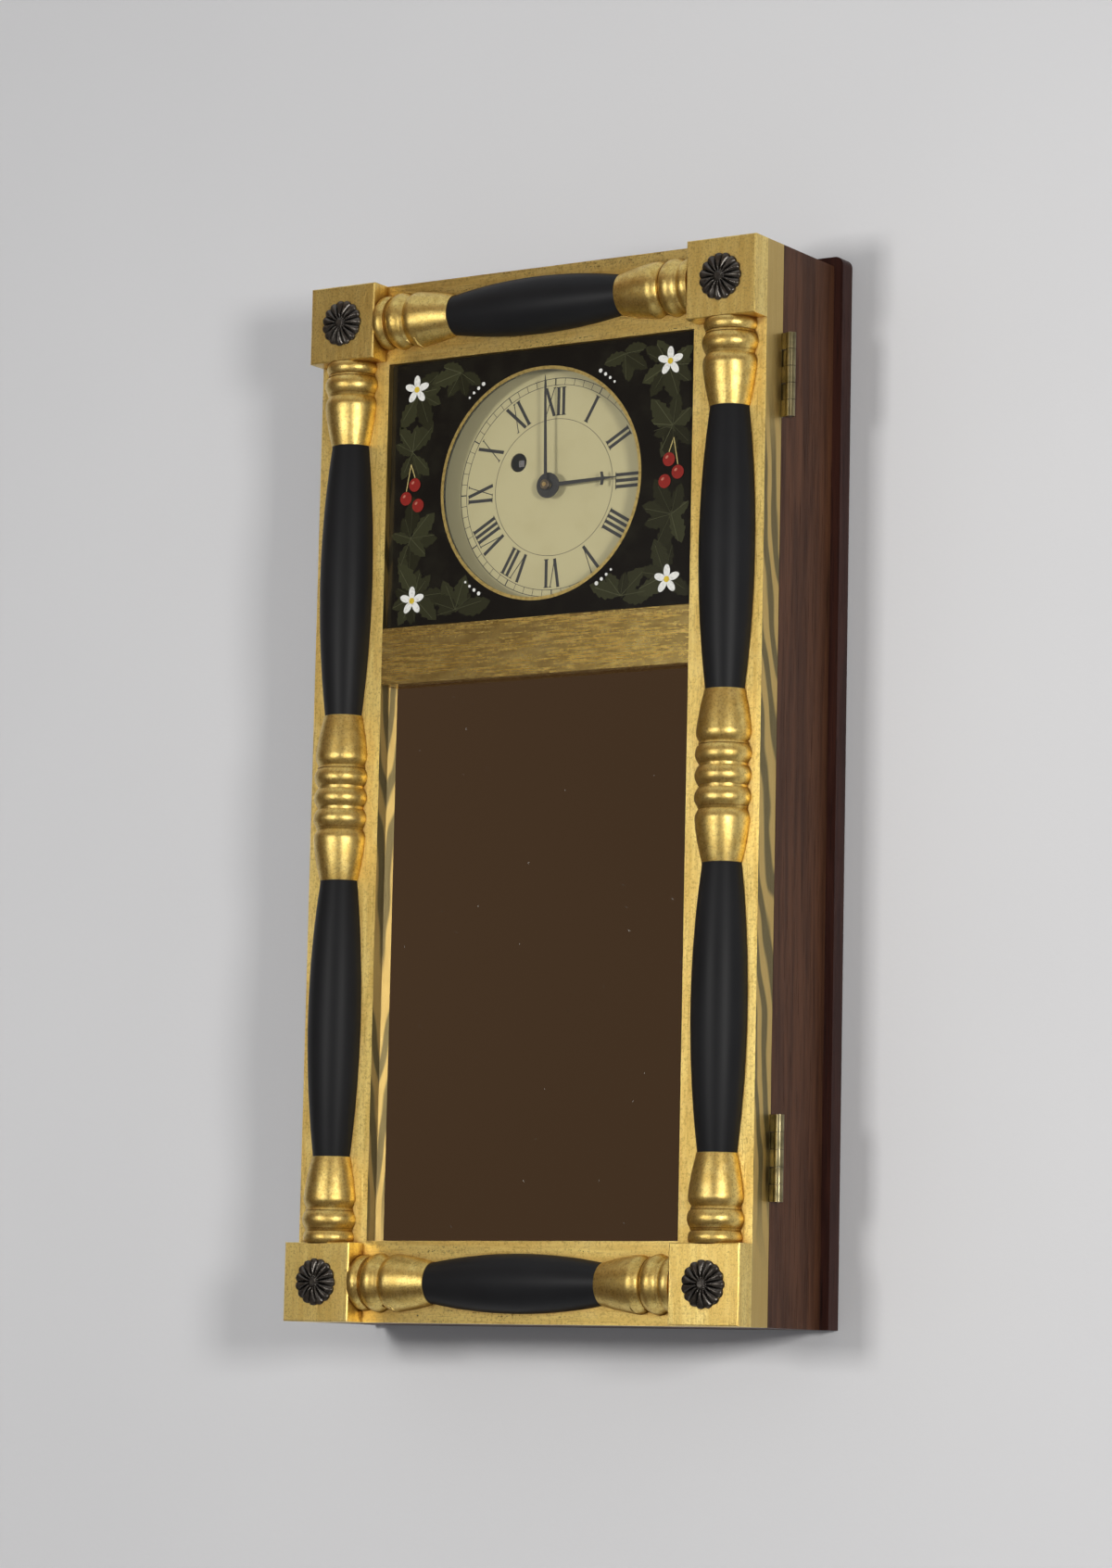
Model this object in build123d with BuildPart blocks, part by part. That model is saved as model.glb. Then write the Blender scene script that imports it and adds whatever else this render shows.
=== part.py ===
from build123d import *
import os
from math import asin, atan2, cos, degrees, hypot, pi, radians, sin, sqrt

# Weight driven wall clock. A gilt door frame with half round turnings and square corner blocks
# covers the whole front. It holds a painted glass tablet over the dial and a mirror below it.
# The case behind it holds the dial, the movement, the pendulum and the weight.
#
# X is to the viewer's right, Y goes back to the wall and Z is up. The origin is the centre of
# the hanger hole on the wall. A depth in this file is a distance in front of the wall.

# Door frame, as seen from the front
door_width = 355.0
door_height = 711.0
door_thickness = 21.0
stile_width = 55.5
top_rail_height = 55.2
mid_rail_height = 38.9
bottom_rail_height = 54.5
mirror_opening_height = 378.0

# Rabbets behind the two openings, and what they hold
rabbet_width = 6.0
tablet_setback = 5.0
mirror_setback = 10.0
tablet_thickness = 2.5
mirror_thickness = 3.0
mirror_backing_thickness = 4.5
glazing_clearance = 0.5
tablet_bead_height = 8.0
mirror_bead_height = 3.0
bead_width = 5.0

# Corner blocks and rosettes
block_width = 52.5
block_height = 52.9
block_rise = 16.5
block_edge = 0.8
rosette_radius = 15.8
rosette_rise = 4.6
rosette_rim = 1.2
rosette_lobes = 15
rosette_knob_radius = 1.9

# Half turnings, each end and middle made of the same members
base_length = 7.7
base_radius = 18.9
groove_radius = 17.0
fillet_radius = 17.9
fillet_length = 1.8
ring_length = 12.3
ring_radius = 19.8
ring_spacing = 2.0
vase_length = 34.5
vase_shoulder = 7.5
vase_wide_radius = 19.2
vase_narrow_radius = 14.2
spindle_end_radius = 13.7
spindle_radius = 19.7
middle_rings = 3

# Case
case_depth = 68.0
side_thickness = 14.0
back_thickness = 13.0
back_overhang = 6.6
back_corner_radius = 6.0
door_gap = 0.4

# Wall hanger, let into the back of the back board
hanger_drop = 28.0
hanger_length = 60.0
hanger_width = 24.0
hanger_thickness = 2.0
hanger_hole_radius = 4.0
hanger_pocket_width = 18.0
hanger_pocket_depth = 9.0

# Hinges on the right side, five knuckles each
hinge_length = 56.5
hinge_leaf_width = 12.0
hinge_leaf_thickness = 1.2
hinge_standoff = 6.4
knuckle_radius = 3.2
knuckle_count = 5
knuckle_gap = 0.3
hinge_pin_radius = 1.4
hinge_pin_clearance = 0.06
upper_hinge_height = 623.0
lower_hinge_height = 108.5

# Screws
screw_head_radius = 2.9
screw_head_height = 1.6
screw_radius = 1.4
screw_length = 10.0
screw_clearance = 0.1
screw_slot_width = 0.6
screw_slot_depth = 0.7

# Hook and stud on the left side
latch_height = 330.0
latch_reach = 26.0
latch_thickness = 1.5
latch_width = 6.0
latch_stud_radius = 1.8
latch_stud_length = 4.2
latch_gap = 0.35
latch_slot_clearance = 0.5
latch_inset = 13.0

# Dial and hands
dial_side_gap = 2.5
dial_margin = 7.8
dial_thickness = 1.0
dial_setback = 1.0
winding_x = -28.7
winding_z = 19.3
winding_hole_radius = 6.5
dial_centre_hole_radius = 4.5
cleat_size = 12.0
minute_hand_length = 76.0
minute_hand_width = 1.8
hour_hand_length = 57.0
hour_hand_width = 2.0
hour_boss_radius = 8.7
crossbar_distance = 43.0
crossbar_length = 9.0
minute_hand_angle = 91.5
hour_hand_angle = 1.5

# Movement plates and pillars
batten_thickness = 17.0
batten_width = 14.0
plate_thickness = 2.0
plate_spacing = 28.0
plate_left = -67.0
plate_right = 45.0
plate_low = -30.0
plate_high = 75.0
pillar_radius = 3.5
pillar_left = -60.0
pillar_right = 38.0
pillar_low = -22.0
pillar_high = 58.0
plate_screw_low = 4.0
plate_screw_high = 36.0

# Arbors
pivot_radius = 0.8
stud_radius = 1.1
pivot_clearance = 0.05
arbor_radius = 1.5
end_shake = 0.15
pipe_clearance = 0.05

# Wheels and pinions
great_teeth = 96
centre_teeth = 80
third_teeth = 76
pinion_leaves = 8
train_module = 0.5
great_thickness = 2.0
wheel_thickness = 1.5
escape_teeth = 30
escape_radius = 15.0
escape_root_radius = 12.3
escape_thickness = 1.2
escape_rise = 40.0
pallet_rise = 61.2
pallet_clearance = 0.85
cannon_leaves = 12
minute_wheel_teeth = 36
minute_pinion_leaves = 10
hour_wheel_teeth = 40
motion_distance = 15.0
motion_angle = -45.0
minute_stud_length = 9.0

# Winding drum and weight line
drum_radius = 9.0
drum_length = 16.0
flange_radius = 13.0
ratchet_teeth = 24
ratchet_radius = 13.0
ratchet_root_radius = 11.4
click_clearance = 0.3
line_radius = 0.75
line_turns = 2
line_pitch = 2.0
line_clearance = 0.2
winding_square = 4.5
pulley_groove_radius = 11.0
pulley_radius = 13.0
pulley_thickness = 5.0
pulley_drop = 20.0
weight_radius = 27.0
weight_height = 120.0
weight_loop_height = 12.0
weight_floor_gap = 4.0
weight_side_gap = 24.0

# Pendulum
pendulum_length = 396.5
bob_radius = 30.0
bob_thickness = 10.0
rod_radius = 1.2
rod_clearance = 0.05
spring_thickness = 0.2
spring_width = 3.6
pendulum_depth_behind_plate = 10.5
crutch_length = 55.0

# Places that follow from the sizes above
door_left = -door_width / 2
door_right = door_width / 2
top = hanger_drop - back_overhang
bottom = top - door_height
mirror_low = bottom + bottom_rail_height
mirror_high = mirror_low + mirror_opening_height
tablet_low = mirror_high + mid_rail_height
tablet_high = top - top_rail_height
opening_width = door_width - 2 * stile_width
dial_z = (tablet_low + tablet_high) / 2
dial_height = tablet_high - tablet_low + 2 * dial_margin

case_front = back_thickness + case_depth
door_back = case_front + door_gap
door_front = door_back + door_thickness
block_front = door_front + block_rise
inner_right = door_right - side_thickness
inner_low = bottom + side_thickness
inner_high = top - side_thickness
dial_width = 2 * (inner_right - dial_side_gap)

dial_back = case_front - dial_setback - dial_thickness
dial_front = dial_back + dial_thickness
back_plate_back = back_thickness + batten_thickness
back_plate_front = back_plate_back + plate_thickness
front_plate_back = back_plate_front + plate_spacing
front_plate_front = front_plate_back + plate_thickness

centre_wheel_back = back_plate_front + 5.0
escape_back = back_plate_front + 9.5
third_wheel_back = back_plate_front + 14.0
drum_back = back_plate_front + 4.0
drum_front = drum_back + drum_length
ratchet_front = drum_front + great_thickness
great_back = ratchet_front + 0.4
great_front = great_back + great_thickness
hour_hand_back = dial_front + 6.8
minute_hand_back = dial_front + 10.0

# The great wheel and the centre pinion share the distance from winding arbor to centre
train_distance = hypot(winding_x, winding_z)
great_module = 2 * train_distance / (great_teeth + pinion_leaves)
third_distance = train_module * (centre_teeth + pinion_leaves) / 2
escape_distance = train_module * (third_teeth + pinion_leaves) / 2
third_z = (third_distance**2 - escape_distance**2 + escape_rise**2) / (2 * escape_rise)
third_x = sqrt(third_distance**2 - third_z**2)
minute_stud_x = motion_distance * cos(radians(motion_angle))
minute_stud_z = motion_distance * sin(radians(motion_angle))
cannon_module = 2 * motion_distance / (cannon_leaves + minute_wheel_teeth)
hour_module = 2 * motion_distance / (minute_pinion_leaves + hour_wheel_teeth)
line_path_radius = drum_radius + line_clearance + line_radius
weight_x = -(inner_right - weight_side_gap - weight_radius)
pulley_x = weight_x + pulley_groove_radius
pulley_z = inner_high - pulley_drop
line_depth = drum_back + 1.0 + line_pitch * (line_turns + 1)

os.makedirs("parts", exist_ok=True)


def front(depth):
    """The plane parallel to the wall at a depth, facing the room."""
    return Plane.XZ.offset(depth)


def on_axis(x, z, depth):
    """A plane facing the room, centred at x and z from the dial centre."""
    return Plane(origin=(x, -depth, dial_z + z), x_dir=(1, 0, 0), z_dir=(0, -1, 0))


def save(builder, name):
    """Label a finished piece and write its file."""
    builder.part.label = name
    export_step(builder.part, f"parts/{name}.step")


def slab(x_low, x_high, z_low, z_high, back, thickness):
    """A flat rectangular piece, from its edges, its back's depth and its thickness."""
    with BuildPart() as piece:
        with BuildSketch(front(back)):
            with Locations(((x_low + x_high) / 2, (z_low + z_high) / 2)):
                Rectangle(x_high - x_low, z_high - z_low)
        extrude(amount=thickness)
    return piece.part


def shaft(x, z, *steps):
    """A turned arbor from steps of start depth, end depth and radius."""
    with BuildPart() as arbor:
        for start, end, radius in steps:
            with BuildSketch(on_axis(x, z, start)):
                Circle(radius)
            extrude(amount=end - start)
    return arbor.part


def toothed(teeth, module, first, widths, tip_rise, root_drop):
    """Corners of a toothed rim: six to a tooth, with widths as shares of the pitch at the
    root, the pitch circle and the tip. The first tooth points at an angle in degrees."""
    pitch_radius = teeth * module / 2
    radii = (pitch_radius - root_drop * module, pitch_radius, pitch_radius + tip_rise * module)
    flank = list(zip(radii, widths))
    points = []
    for number in range(teeth):
        middle = first + 360 / teeth * number
        for side, stations in ((-1, flank), (1, flank[::-1])):
            for radius, share in stations:
                angle = radians(middle + side * share * 180 / teeth)
                points.append((radius * cos(angle), radius * sin(angle)))
    return points


def wheel(x, z, back, thickness, outline, rim_radius, hub_radius, bore, arm_width):
    """A crossed-out wheel with four arms."""
    with BuildPart() as blank:
        with BuildSketch(on_axis(x, z, back)):
            with BuildLine():
                Polyline(*outline, close=True)
            make_face()
            Circle(rim_radius, mode=Mode.SUBTRACT)
            for turn in (45, 135):
                Rectangle(2 * rim_radius + 0.6, arm_width, rotation=turn)
            Circle(hub_radius)
            Circle(bore, mode=Mode.SUBTRACT)
        extrude(amount=thickness)
    return blank.part


def pinion(x, z, back, thickness, outline, bore):
    """A solid pinion with a bore."""
    with BuildPart() as blank:
        with BuildSketch(on_axis(x, z, back)):
            with BuildLine():
                Polyline(*outline, close=True)
            make_face()
            if bore:
                Circle(bore, mode=Mode.SUBTRACT)
        extrude(amount=thickness)
    return blank.part


wheel_form = (0.50, 0.36, 0.10)
pinion_form = (0.22, 0.30, 0.10)
wheel_rise = 0.9
wheel_drop = 1.4
pinion_rise = 0.7
pinion_drop = 1.5
great_direction = degrees(atan2(-winding_z, -winding_x))
third_direction = degrees(atan2(third_z, third_x))
escape_direction = degrees(atan2(escape_rise - third_z, -third_x))


def facing(direction, leaves):
    """The angle of a pinion's first leaf that leaves a gap towards the wheel driving it."""
    return direction + 180 + 180 / leaves


# Screws, all of one size, made once with the head's top at the origin and the shank going down
with BuildPart() as screw:
    with BuildSketch(Plane.XZ):
        with BuildLine():
            Polyline(
                (0, 0),
                (screw_head_radius, 0),
                (screw_radius, -screw_head_height),
                (screw_radius, -screw_length),
                (0, -screw_length),
                close=True,
            )
        make_face()
    revolve(axis=Axis.Z)
    with BuildSketch(Plane.XY):
        Rectangle(2 * screw_head_radius, screw_slot_width)
    extrude(amount=-screw_slot_depth, mode=Mode.SUBTRACT)

# What a screw takes out of the wood or metal around it
with BuildPart() as screw_room:
    with BuildSketch(Plane.XZ):
        with BuildLine():
            Polyline(
                (0, 0),
                (screw_head_radius + screw_clearance, 0),
                (screw_radius + screw_clearance, -screw_head_height),
                (screw_radius + screw_clearance, -screw_length - screw_clearance),
                (0, -screw_length - screw_clearance),
                close=True,
            )
        make_face()
    revolve(axis=Axis.Z)


def facing_room(x, depth, z):
    """Where a screw goes whose head looks out into the room."""
    return Plane(origin=(x, -depth, z), z_dir=(0, -1, 0))


def facing_wall(x, depth, z):
    """Where a screw goes whose head looks at the wall."""
    return Plane(origin=(x, -depth, z), z_dir=(0, 1, 0))


# Screw places
hanger_screws = [facing_wall(side * hanger_length * 0.36, 0, 0) for side in (-1, 1)]
hinge_leaf_mid = door_right - hinge_leaf_width / 2
hinge_heights = [bottom + lower_hinge_height, bottom + upper_hinge_height]
hinge_screw_rows = [height + step for height in hinge_heights for step in (-20, 0, 20)]
case_leaf_screws = [facing_room(hinge_leaf_mid, case_front, z) for z in hinge_screw_rows]
door_leaf_screws = [facing_wall(hinge_leaf_mid, door_back, z) for z in hinge_screw_rows]
dial_screw_x = inner_right - cleat_size / 2
dial_screw_z = dial_height / 2 - cleat_size
dial_screws = [
    facing_room(side * dial_screw_x, dial_front, dial_z + rise * dial_screw_z)
    for side in (-1, 1)
    for rise in (-1, 1)
]
batten_x = [plate_left + batten_width / 2, plate_right - batten_width / 2]
plate_screws = [
    facing_room(x, back_plate_front, dial_z + z)
    for x in batten_x
    for z in (plate_screw_low, plate_screw_high)
]
pillar_places = [(x, z) for x in (pillar_left, pillar_right) for z in (pillar_low, pillar_high)]
pillar_screws = [facing_room(x, front_plate_front, dial_z + z) for x, z in pillar_places]
bracket_screws = [
    Plane(origin=(pulley_x + side * 12, -line_depth, inner_high - 1.5), z_dir=(0, 0, -1))
    for side in (-1, 1)
]
latch_pivot_z = bottom + latch_height
latch_pivot_depth = case_front - latch_inset
latch_stud_depth = latch_pivot_depth + latch_reach
latch_screw = [
    Plane(
        origin=(door_left - latch_gap - latch_thickness - screw_clearance, -latch_pivot_depth,
                latch_pivot_z),
        z_dir=(-1, 0, 0),
    )
]


# Back board, with a pocket and a recess for the hanger
with BuildPart() as back_board:
    add(slab(door_left - back_overhang, door_right + back_overhang, bottom, top + back_overhang,
             0, back_thickness))
    fillet(back_board.edges().filter_by(Axis.Y).group_by(Axis.Z)[-1], back_corner_radius)
    with BuildSketch(front(0)):
        SlotOverall(hanger_length + 2 * screw_clearance, hanger_width + 2 * screw_clearance)
    extrude(amount=hanger_thickness, mode=Mode.SUBTRACT)
    with BuildSketch(front(0)):
        RectangleRounded(hanger_pocket_width, hanger_pocket_width, 3)
    extrude(amount=hanger_pocket_depth, mode=Mode.SUBTRACT)
    with Locations(*hanger_screws):
        add(screw_room.part, mode=Mode.SUBTRACT)
save(back_board, "back_board")

# Wall hanger, a brass plate with one round hole
with BuildPart() as wall_hanger:
    with BuildSketch(front(0)):
        SlotOverall(hanger_length, hanger_width)
        Circle(hanger_hole_radius, mode=Mode.SUBTRACT)
    extrude(amount=hanger_thickness)
    with Locations(*hanger_screws):
        add(screw_room.part, mode=Mode.SUBTRACT)
save(wall_hanger, "wall_hanger")

# Case sides, full height, with the hinge leaves let into the right one's front edge
with BuildPart() as case_left_side:
    add(slab(door_left, -inner_right, bottom, top, back_thickness, case_depth))
    with Locations(*latch_screw):
        add(screw_room.part, mode=Mode.SUBTRACT)
save(case_left_side, "case_left_side")

with BuildPart() as case_right_side:
    add(slab(inner_right, door_right, bottom, top, back_thickness, case_depth))
    for height in hinge_heights:
        with BuildSketch(front(case_front)):
            with Locations((door_right - hinge_leaf_width / 2, height)):
                Rectangle(hinge_leaf_width, hinge_length)
        extrude(amount=-hinge_leaf_thickness, mode=Mode.SUBTRACT)
    with Locations(*case_leaf_screws):
        add(screw_room.part, mode=Mode.SUBTRACT)
save(case_right_side, "case_right_side")

# Case top and bottom boards, between the sides
with BuildPart() as case_top_board:
    add(slab(-inner_right, inner_right, inner_high, top, back_thickness, case_depth))
    with Locations(*bracket_screws):
        add(screw_room.part, mode=Mode.SUBTRACT)
save(case_top_board, "case_top_board")

with BuildPart() as case_bottom_board:
    add(slab(-inner_right, inner_right, bottom, inner_low, back_thickness, case_depth))
save(case_bottom_board, "case_bottom_board")

# Cleats behind the dial's ends, and the two battens that carry the movement
with BuildPart() as inner_cleats:
    for side in (-1, 1):
        inner, outer = sorted((side * inner_right, side * (inner_right - cleat_size)))
        add(slab(inner, outer, dial_z - dial_height / 2, dial_z + dial_height / 2,
                 dial_back - cleat_size, cleat_size))
    for middle in batten_x:
        add(slab(middle - batten_width / 2, middle + batten_width / 2, dial_z + plate_low,
                 dial_z + plate_high, back_thickness, batten_thickness))
    with Locations(*dial_screws, *plate_screws):
        add(screw_room.part, mode=Mode.SUBTRACT)
save(inner_cleats, "inner_cleats")

# Dial, a painted iron sheet
with BuildPart() as dial:
    with BuildSketch(on_axis(0, 0, dial_back)):
        Rectangle(dial_width, dial_height)
        Circle(dial_centre_hole_radius, mode=Mode.SUBTRACT)
        with Locations((winding_x, winding_z)):
            Circle(winding_hole_radius, mode=Mode.SUBTRACT)
    extrude(amount=dial_thickness)
    with Locations(*dial_screws):
        add(screw_room.part, mode=Mode.SUBTRACT)
save(dial, "dial")

# Movement plates. Each arbor has a pivot hole, and the pallet arbor passes the back plate
# through a wide hole on its way to the suspension cock.
pivots = [(third_x, third_z), (0, escape_rise)]
with BuildPart() as movement_back_plate:
    add(slab(plate_left, plate_right, dial_z + plate_low, dial_z + plate_high, back_plate_back,
             plate_thickness))
    with BuildSketch(on_axis(0, 0, back_plate_back)):
        with Locations(*pivots, (0, 0)):
            Circle(pivot_radius + pivot_clearance)
        with Locations((winding_x, winding_z)):
            Circle(arbor_radius + pivot_clearance)
        with Locations((0, pallet_rise)):
            Circle(4)
    extrude(amount=plate_thickness, mode=Mode.SUBTRACT)
    with Locations(*plate_screws):
        add(screw_room.part, mode=Mode.SUBTRACT)
save(movement_back_plate, "movement_back_plate")

winding_arbor_radius = 3.4
with BuildPart() as movement_front_plate:
    add(slab(plate_left, plate_right, dial_z + plate_low, dial_z + plate_high, front_plate_back,
             plate_thickness))
    with BuildSketch(on_axis(0, 0, front_plate_back)):
        with Locations(*pivots, (0, pallet_rise)):
            Circle(pivot_radius + pivot_clearance)
        Circle(arbor_radius + pivot_clearance)
        with Locations((winding_x, winding_z)):
            Circle(winding_arbor_radius + pivot_clearance)
    extrude(amount=plate_thickness, mode=Mode.SUBTRACT)
    with Locations(*pillar_screws):
        add(screw_room.part, mode=Mode.SUBTRACT)
    with BuildSketch(on_axis(minute_stud_x, minute_stud_z, front_plate_front)):
        Circle(stud_radius)
    extrude(amount=minute_stud_length)
save(movement_front_plate, "movement_front_plate")

# Pillars between the plates
with BuildPart() as movement_pillars:
    with BuildSketch(on_axis(0, 0, back_plate_front)):
        with Locations(*pillar_places):
            Circle(pillar_radius)
    extrude(amount=plate_spacing)
    with Locations(*pillar_screws):
        add(screw_room.part, mode=Mode.SUBTRACT)
save(movement_pillars, "movement_pillars")

with BuildPart() as movement_screws:
    with Locations(*plate_screws, *pillar_screws):
        add(screw.part)
save(movement_screws, "movement_screws")

with BuildPart() as case_screws:
    with Locations(*hanger_screws, *case_leaf_screws, *dial_screws, *bracket_screws, *latch_screw):
        add(screw.part)
save(case_screws, "case_screws")

# Suspension cock behind the back plate: a foot, a shelf, a lug for the pallet arbor and a
# slit block that the pendulum spring hangs in
pendulum_depth = back_plate_back - pendulum_depth_behind_plate
cock_width = 22.0
cock_foot_thickness = 2.0
lug_thickness = 2.0
lug_back = pendulum_depth + 4.0
slit_width = 1.3
slit_block_low = pallet_rise + 4.5
shelf_thickness = 3.0
with BuildPart() as suspension_cock:
    add(slab(-cock_width / 2, cock_width / 2, dial_z + pallet_rise + 6, dial_z + plate_high,
             back_plate_back - cock_foot_thickness, cock_foot_thickness))
    add(slab(-cock_width / 2, cock_width / 2, dial_z + plate_high - shelf_thickness,
             dial_z + plate_high, pendulum_depth - 2.2, back_plate_back - pendulum_depth + 2.2))
    with BuildSketch(on_axis(0, pallet_rise, lug_back)):
        Circle(4)
        with Locations((0, (plate_high - pallet_rise) / 2)):
            Rectangle(8, plate_high - pallet_rise)
        Circle(pivot_radius + pivot_clearance, mode=Mode.SUBTRACT)
    extrude(amount=lug_thickness)
    with BuildSketch(on_axis(0, 0, pendulum_depth - 2.2)):
        with Locations((0, (slit_block_low + plate_high - shelf_thickness) / 2)):
            Rectangle(6, plate_high - shelf_thickness - slit_block_low)
            Rectangle(slit_width, plate_high - shelf_thickness - slit_block_low,
                      mode=Mode.SUBTRACT)
    extrude(amount=4.4)
save(suspension_cock, "suspension_cock")

# Great wheel, turning on the winding arbor and driving the centre pinion
great_tooth = toothed(great_teeth, great_module, great_direction, wheel_form, wheel_rise,
                      wheel_drop)
great_rim_radius = great_teeth * great_module / 2 - 4.5
click_pivot_radius = 21.0
with BuildPart() as great_wheel:
    add(wheel(winding_x, winding_z, great_back, great_thickness, great_tooth, great_rim_radius, 9,
              winding_arbor_radius + pivot_clearance, 5))
    with BuildSketch(on_axis(winding_x, winding_z, great_back)):
        with Locations((0, -click_pivot_radius)):
            Circle(3.2)
        with Locations((0, -(click_pivot_radius + great_rim_radius) / 2)):
            Rectangle(5, great_rim_radius - click_pivot_radius + 1)
    extrude(amount=great_thickness)
    with BuildSketch(on_axis(winding_x, winding_z, ratchet_front - great_thickness)):
        with Locations((0, -click_pivot_radius)):
            Circle(1.2)
    extrude(amount=great_back - ratchet_front + great_thickness)
save(great_wheel, "great_wheel")

# Click, a curved pawl whose nose lies just off the ratchet's teeth
nose_angle = radians(-60)
nose_radius = ratchet_radius + click_clearance
click_nose = (nose_radius * cos(nose_angle), nose_radius * sin(nose_angle))
with BuildPart() as click:
    with BuildSketch(on_axis(winding_x, winding_z, ratchet_front - great_thickness + 0.1)):
        with BuildLine():
            Polyline(
                (-1.4, -click_pivot_radius - 1.6),
                (click_nose[0] + 3.4, click_nose[1] - 2.6),
                click_nose,
                (click_nose[0] - 0.6, click_nose[1] - 2.2),
                (0, -click_pivot_radius + 2.6),
                close=True,
            )
        make_face()
        with Locations((0, -click_pivot_radius)):
            Circle(2.6)
            Circle(1.2 + pivot_clearance, mode=Mode.SUBTRACT)
    extrude(amount=great_thickness - 0.2)
save(click, "click")

# Winding drum with its back flange and ratchet
ratchet_outline = []
for number in range(ratchet_teeth):
    turn = radians(360 / ratchet_teeth * number)
    ratchet_outline.append((ratchet_root_radius * cos(turn), ratchet_root_radius * sin(turn)))
    lift = radians(360 / ratchet_teeth * (number + 0.88))
    ratchet_outline.append((ratchet_radius * cos(lift), ratchet_radius * sin(lift)))
with BuildPart() as winding_drum:
    add(shaft(winding_x, winding_z, (drum_back - 1, drum_back, flange_radius),
              (drum_back, drum_front, drum_radius)))
    with BuildSketch(on_axis(winding_x, winding_z, drum_front)):
        with BuildLine():
            Polyline(*ratchet_outline, close=True)
        make_face()
    extrude(amount=great_thickness)
    with BuildSketch(on_axis(winding_x, winding_z, drum_back - 1)):
        Circle(winding_arbor_radius + pipe_clearance)
    extrude(amount=ratchet_front, mode=Mode.SUBTRACT)
save(winding_drum, "winding_drum")

# Winding arbor, with a square front end for the key
with BuildPart() as winding_arbor:
    add(shaft(winding_x, winding_z, (back_plate_back, back_plate_front, arbor_radius),
              (back_plate_front + end_shake, front_plate_front + 1, winding_arbor_radius)))
    with BuildSketch(on_axis(winding_x, winding_z, front_plate_front + 1)):
        Rectangle(winding_square, winding_square)
    extrude(amount=dial_back - 3 - front_plate_front - 1)
    with BuildSketch(on_axis(winding_x, winding_z, back_plate_front - 1)):
        Circle(arbor_radius)
    extrude(amount=2)
save(winding_arbor, "winding_arbor")

# Centre wheel with its arbor and pinion
centre_tooth = toothed(centre_teeth, train_module, third_direction, wheel_form, wheel_rise,
                       wheel_drop)
centre_leaf = toothed(pinion_leaves, great_module, facing(great_direction, pinion_leaves),
                      pinion_form, pinion_rise, pinion_drop)
cannon_back = front_plate_front + 1.0
hand_end = minute_hand_back + 2.4
with BuildPart() as centre_wheel:
    add(wheel(0, 0, centre_wheel_back, wheel_thickness, centre_tooth,
              centre_teeth * train_module / 2 - 3, 4.5, 1.0, 2.5))
    add(pinion(0, 0, great_back - 1, great_thickness + 2, centre_leaf, 0))
    add(shaft(0, 0, (back_plate_back, back_plate_front + end_shake, pivot_radius),
              (back_plate_front + end_shake, hand_end, arbor_radius)))
save(centre_wheel, "centre_wheel")

# Third wheel and escape wheel, each with its arbor and pinion
third_tooth = toothed(third_teeth, train_module, escape_direction, wheel_form, wheel_rise,
                      wheel_drop)
third_leaf = toothed(pinion_leaves, train_module, facing(third_direction, pinion_leaves),
                     pinion_form, pinion_rise, pinion_drop)
with BuildPart() as third_wheel:
    add(wheel(third_x, third_z, third_wheel_back, wheel_thickness, third_tooth,
              third_teeth * train_module / 2 - 3, 4, 0.5, 2.4))
    add(pinion(third_x, third_z, centre_wheel_back - 1.5, wheel_thickness + 3, third_leaf, 0))
    add(shaft(third_x, third_z, (back_plate_back, front_plate_front, pivot_radius),
              (back_plate_front + end_shake, front_plate_back - end_shake, 1.1)))
save(third_wheel, "third_wheel")

escape_leaf = toothed(pinion_leaves, train_module, facing(escape_direction, pinion_leaves),
                      pinion_form, pinion_rise, pinion_drop)
escape_outline = []
for number in range(escape_teeth):
    for radius, share in ((escape_root_radius, 0.0), (escape_radius, 0.42), (escape_radius, 0.50),
                          (escape_root_radius, 0.66)):
        turn = radians(360 / escape_teeth * (number + share))
        escape_outline.append((radius * cos(turn), radius * sin(turn)))
with BuildPart() as escape_wheel:
    add(wheel(0, escape_rise, escape_back, escape_thickness, escape_outline,
              escape_root_radius - 1.8, 3, 0.5, 1.6))
    add(pinion(0, escape_rise, third_wheel_back - 1.5, wheel_thickness + 3, escape_leaf, 0))
    add(shaft(0, escape_rise, (back_plate_back, front_plate_front, pivot_radius),
              (back_plate_front + end_shake, front_plate_back - end_shake, 1.1)))
save(escape_wheel, "escape_wheel")

# Pallets over the escape wheel, standing just clear of its teeth
pallet_span = 45.0
nib_radius = escape_radius + pallet_clearance
nib_x = (escape_radius - 0.5) * sin(radians(pallet_span))
nib_z = escape_rise - pallet_rise + (escape_radius - 0.5) * cos(radians(pallet_span))
with BuildPart() as pallets:
    with BuildSketch(on_axis(0, pallet_rise, escape_back - 0.4)):
        with BuildLine():
            Polyline(
                (0, 3.2),
                (nib_x + 3.0, nib_z + 4.0),
                (nib_x + 1.6, nib_z - 0.8),
                (nib_x - 0.4, nib_z + 0.4),
                (nib_x - 1.0, nib_z + 4.4),
                (0, -2.6),
                (-nib_x + 1.0, nib_z + 4.4),
                (-nib_x + 0.4, nib_z + 0.4),
                (-nib_x - 1.6, nib_z - 0.8),
                (-nib_x - 3.0, nib_z + 4.0),
                close=True,
            )
        make_face()
        Circle(1.1 + pipe_clearance, mode=Mode.SUBTRACT)
    extrude(amount=escape_thickness + 0.8)
    with BuildSketch(on_axis(0, escape_rise, escape_back - 0.4)):
        Circle(nib_radius)
    extrude(amount=escape_thickness + 0.8, mode=Mode.SUBTRACT)
save(pallets, "pallets")

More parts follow.
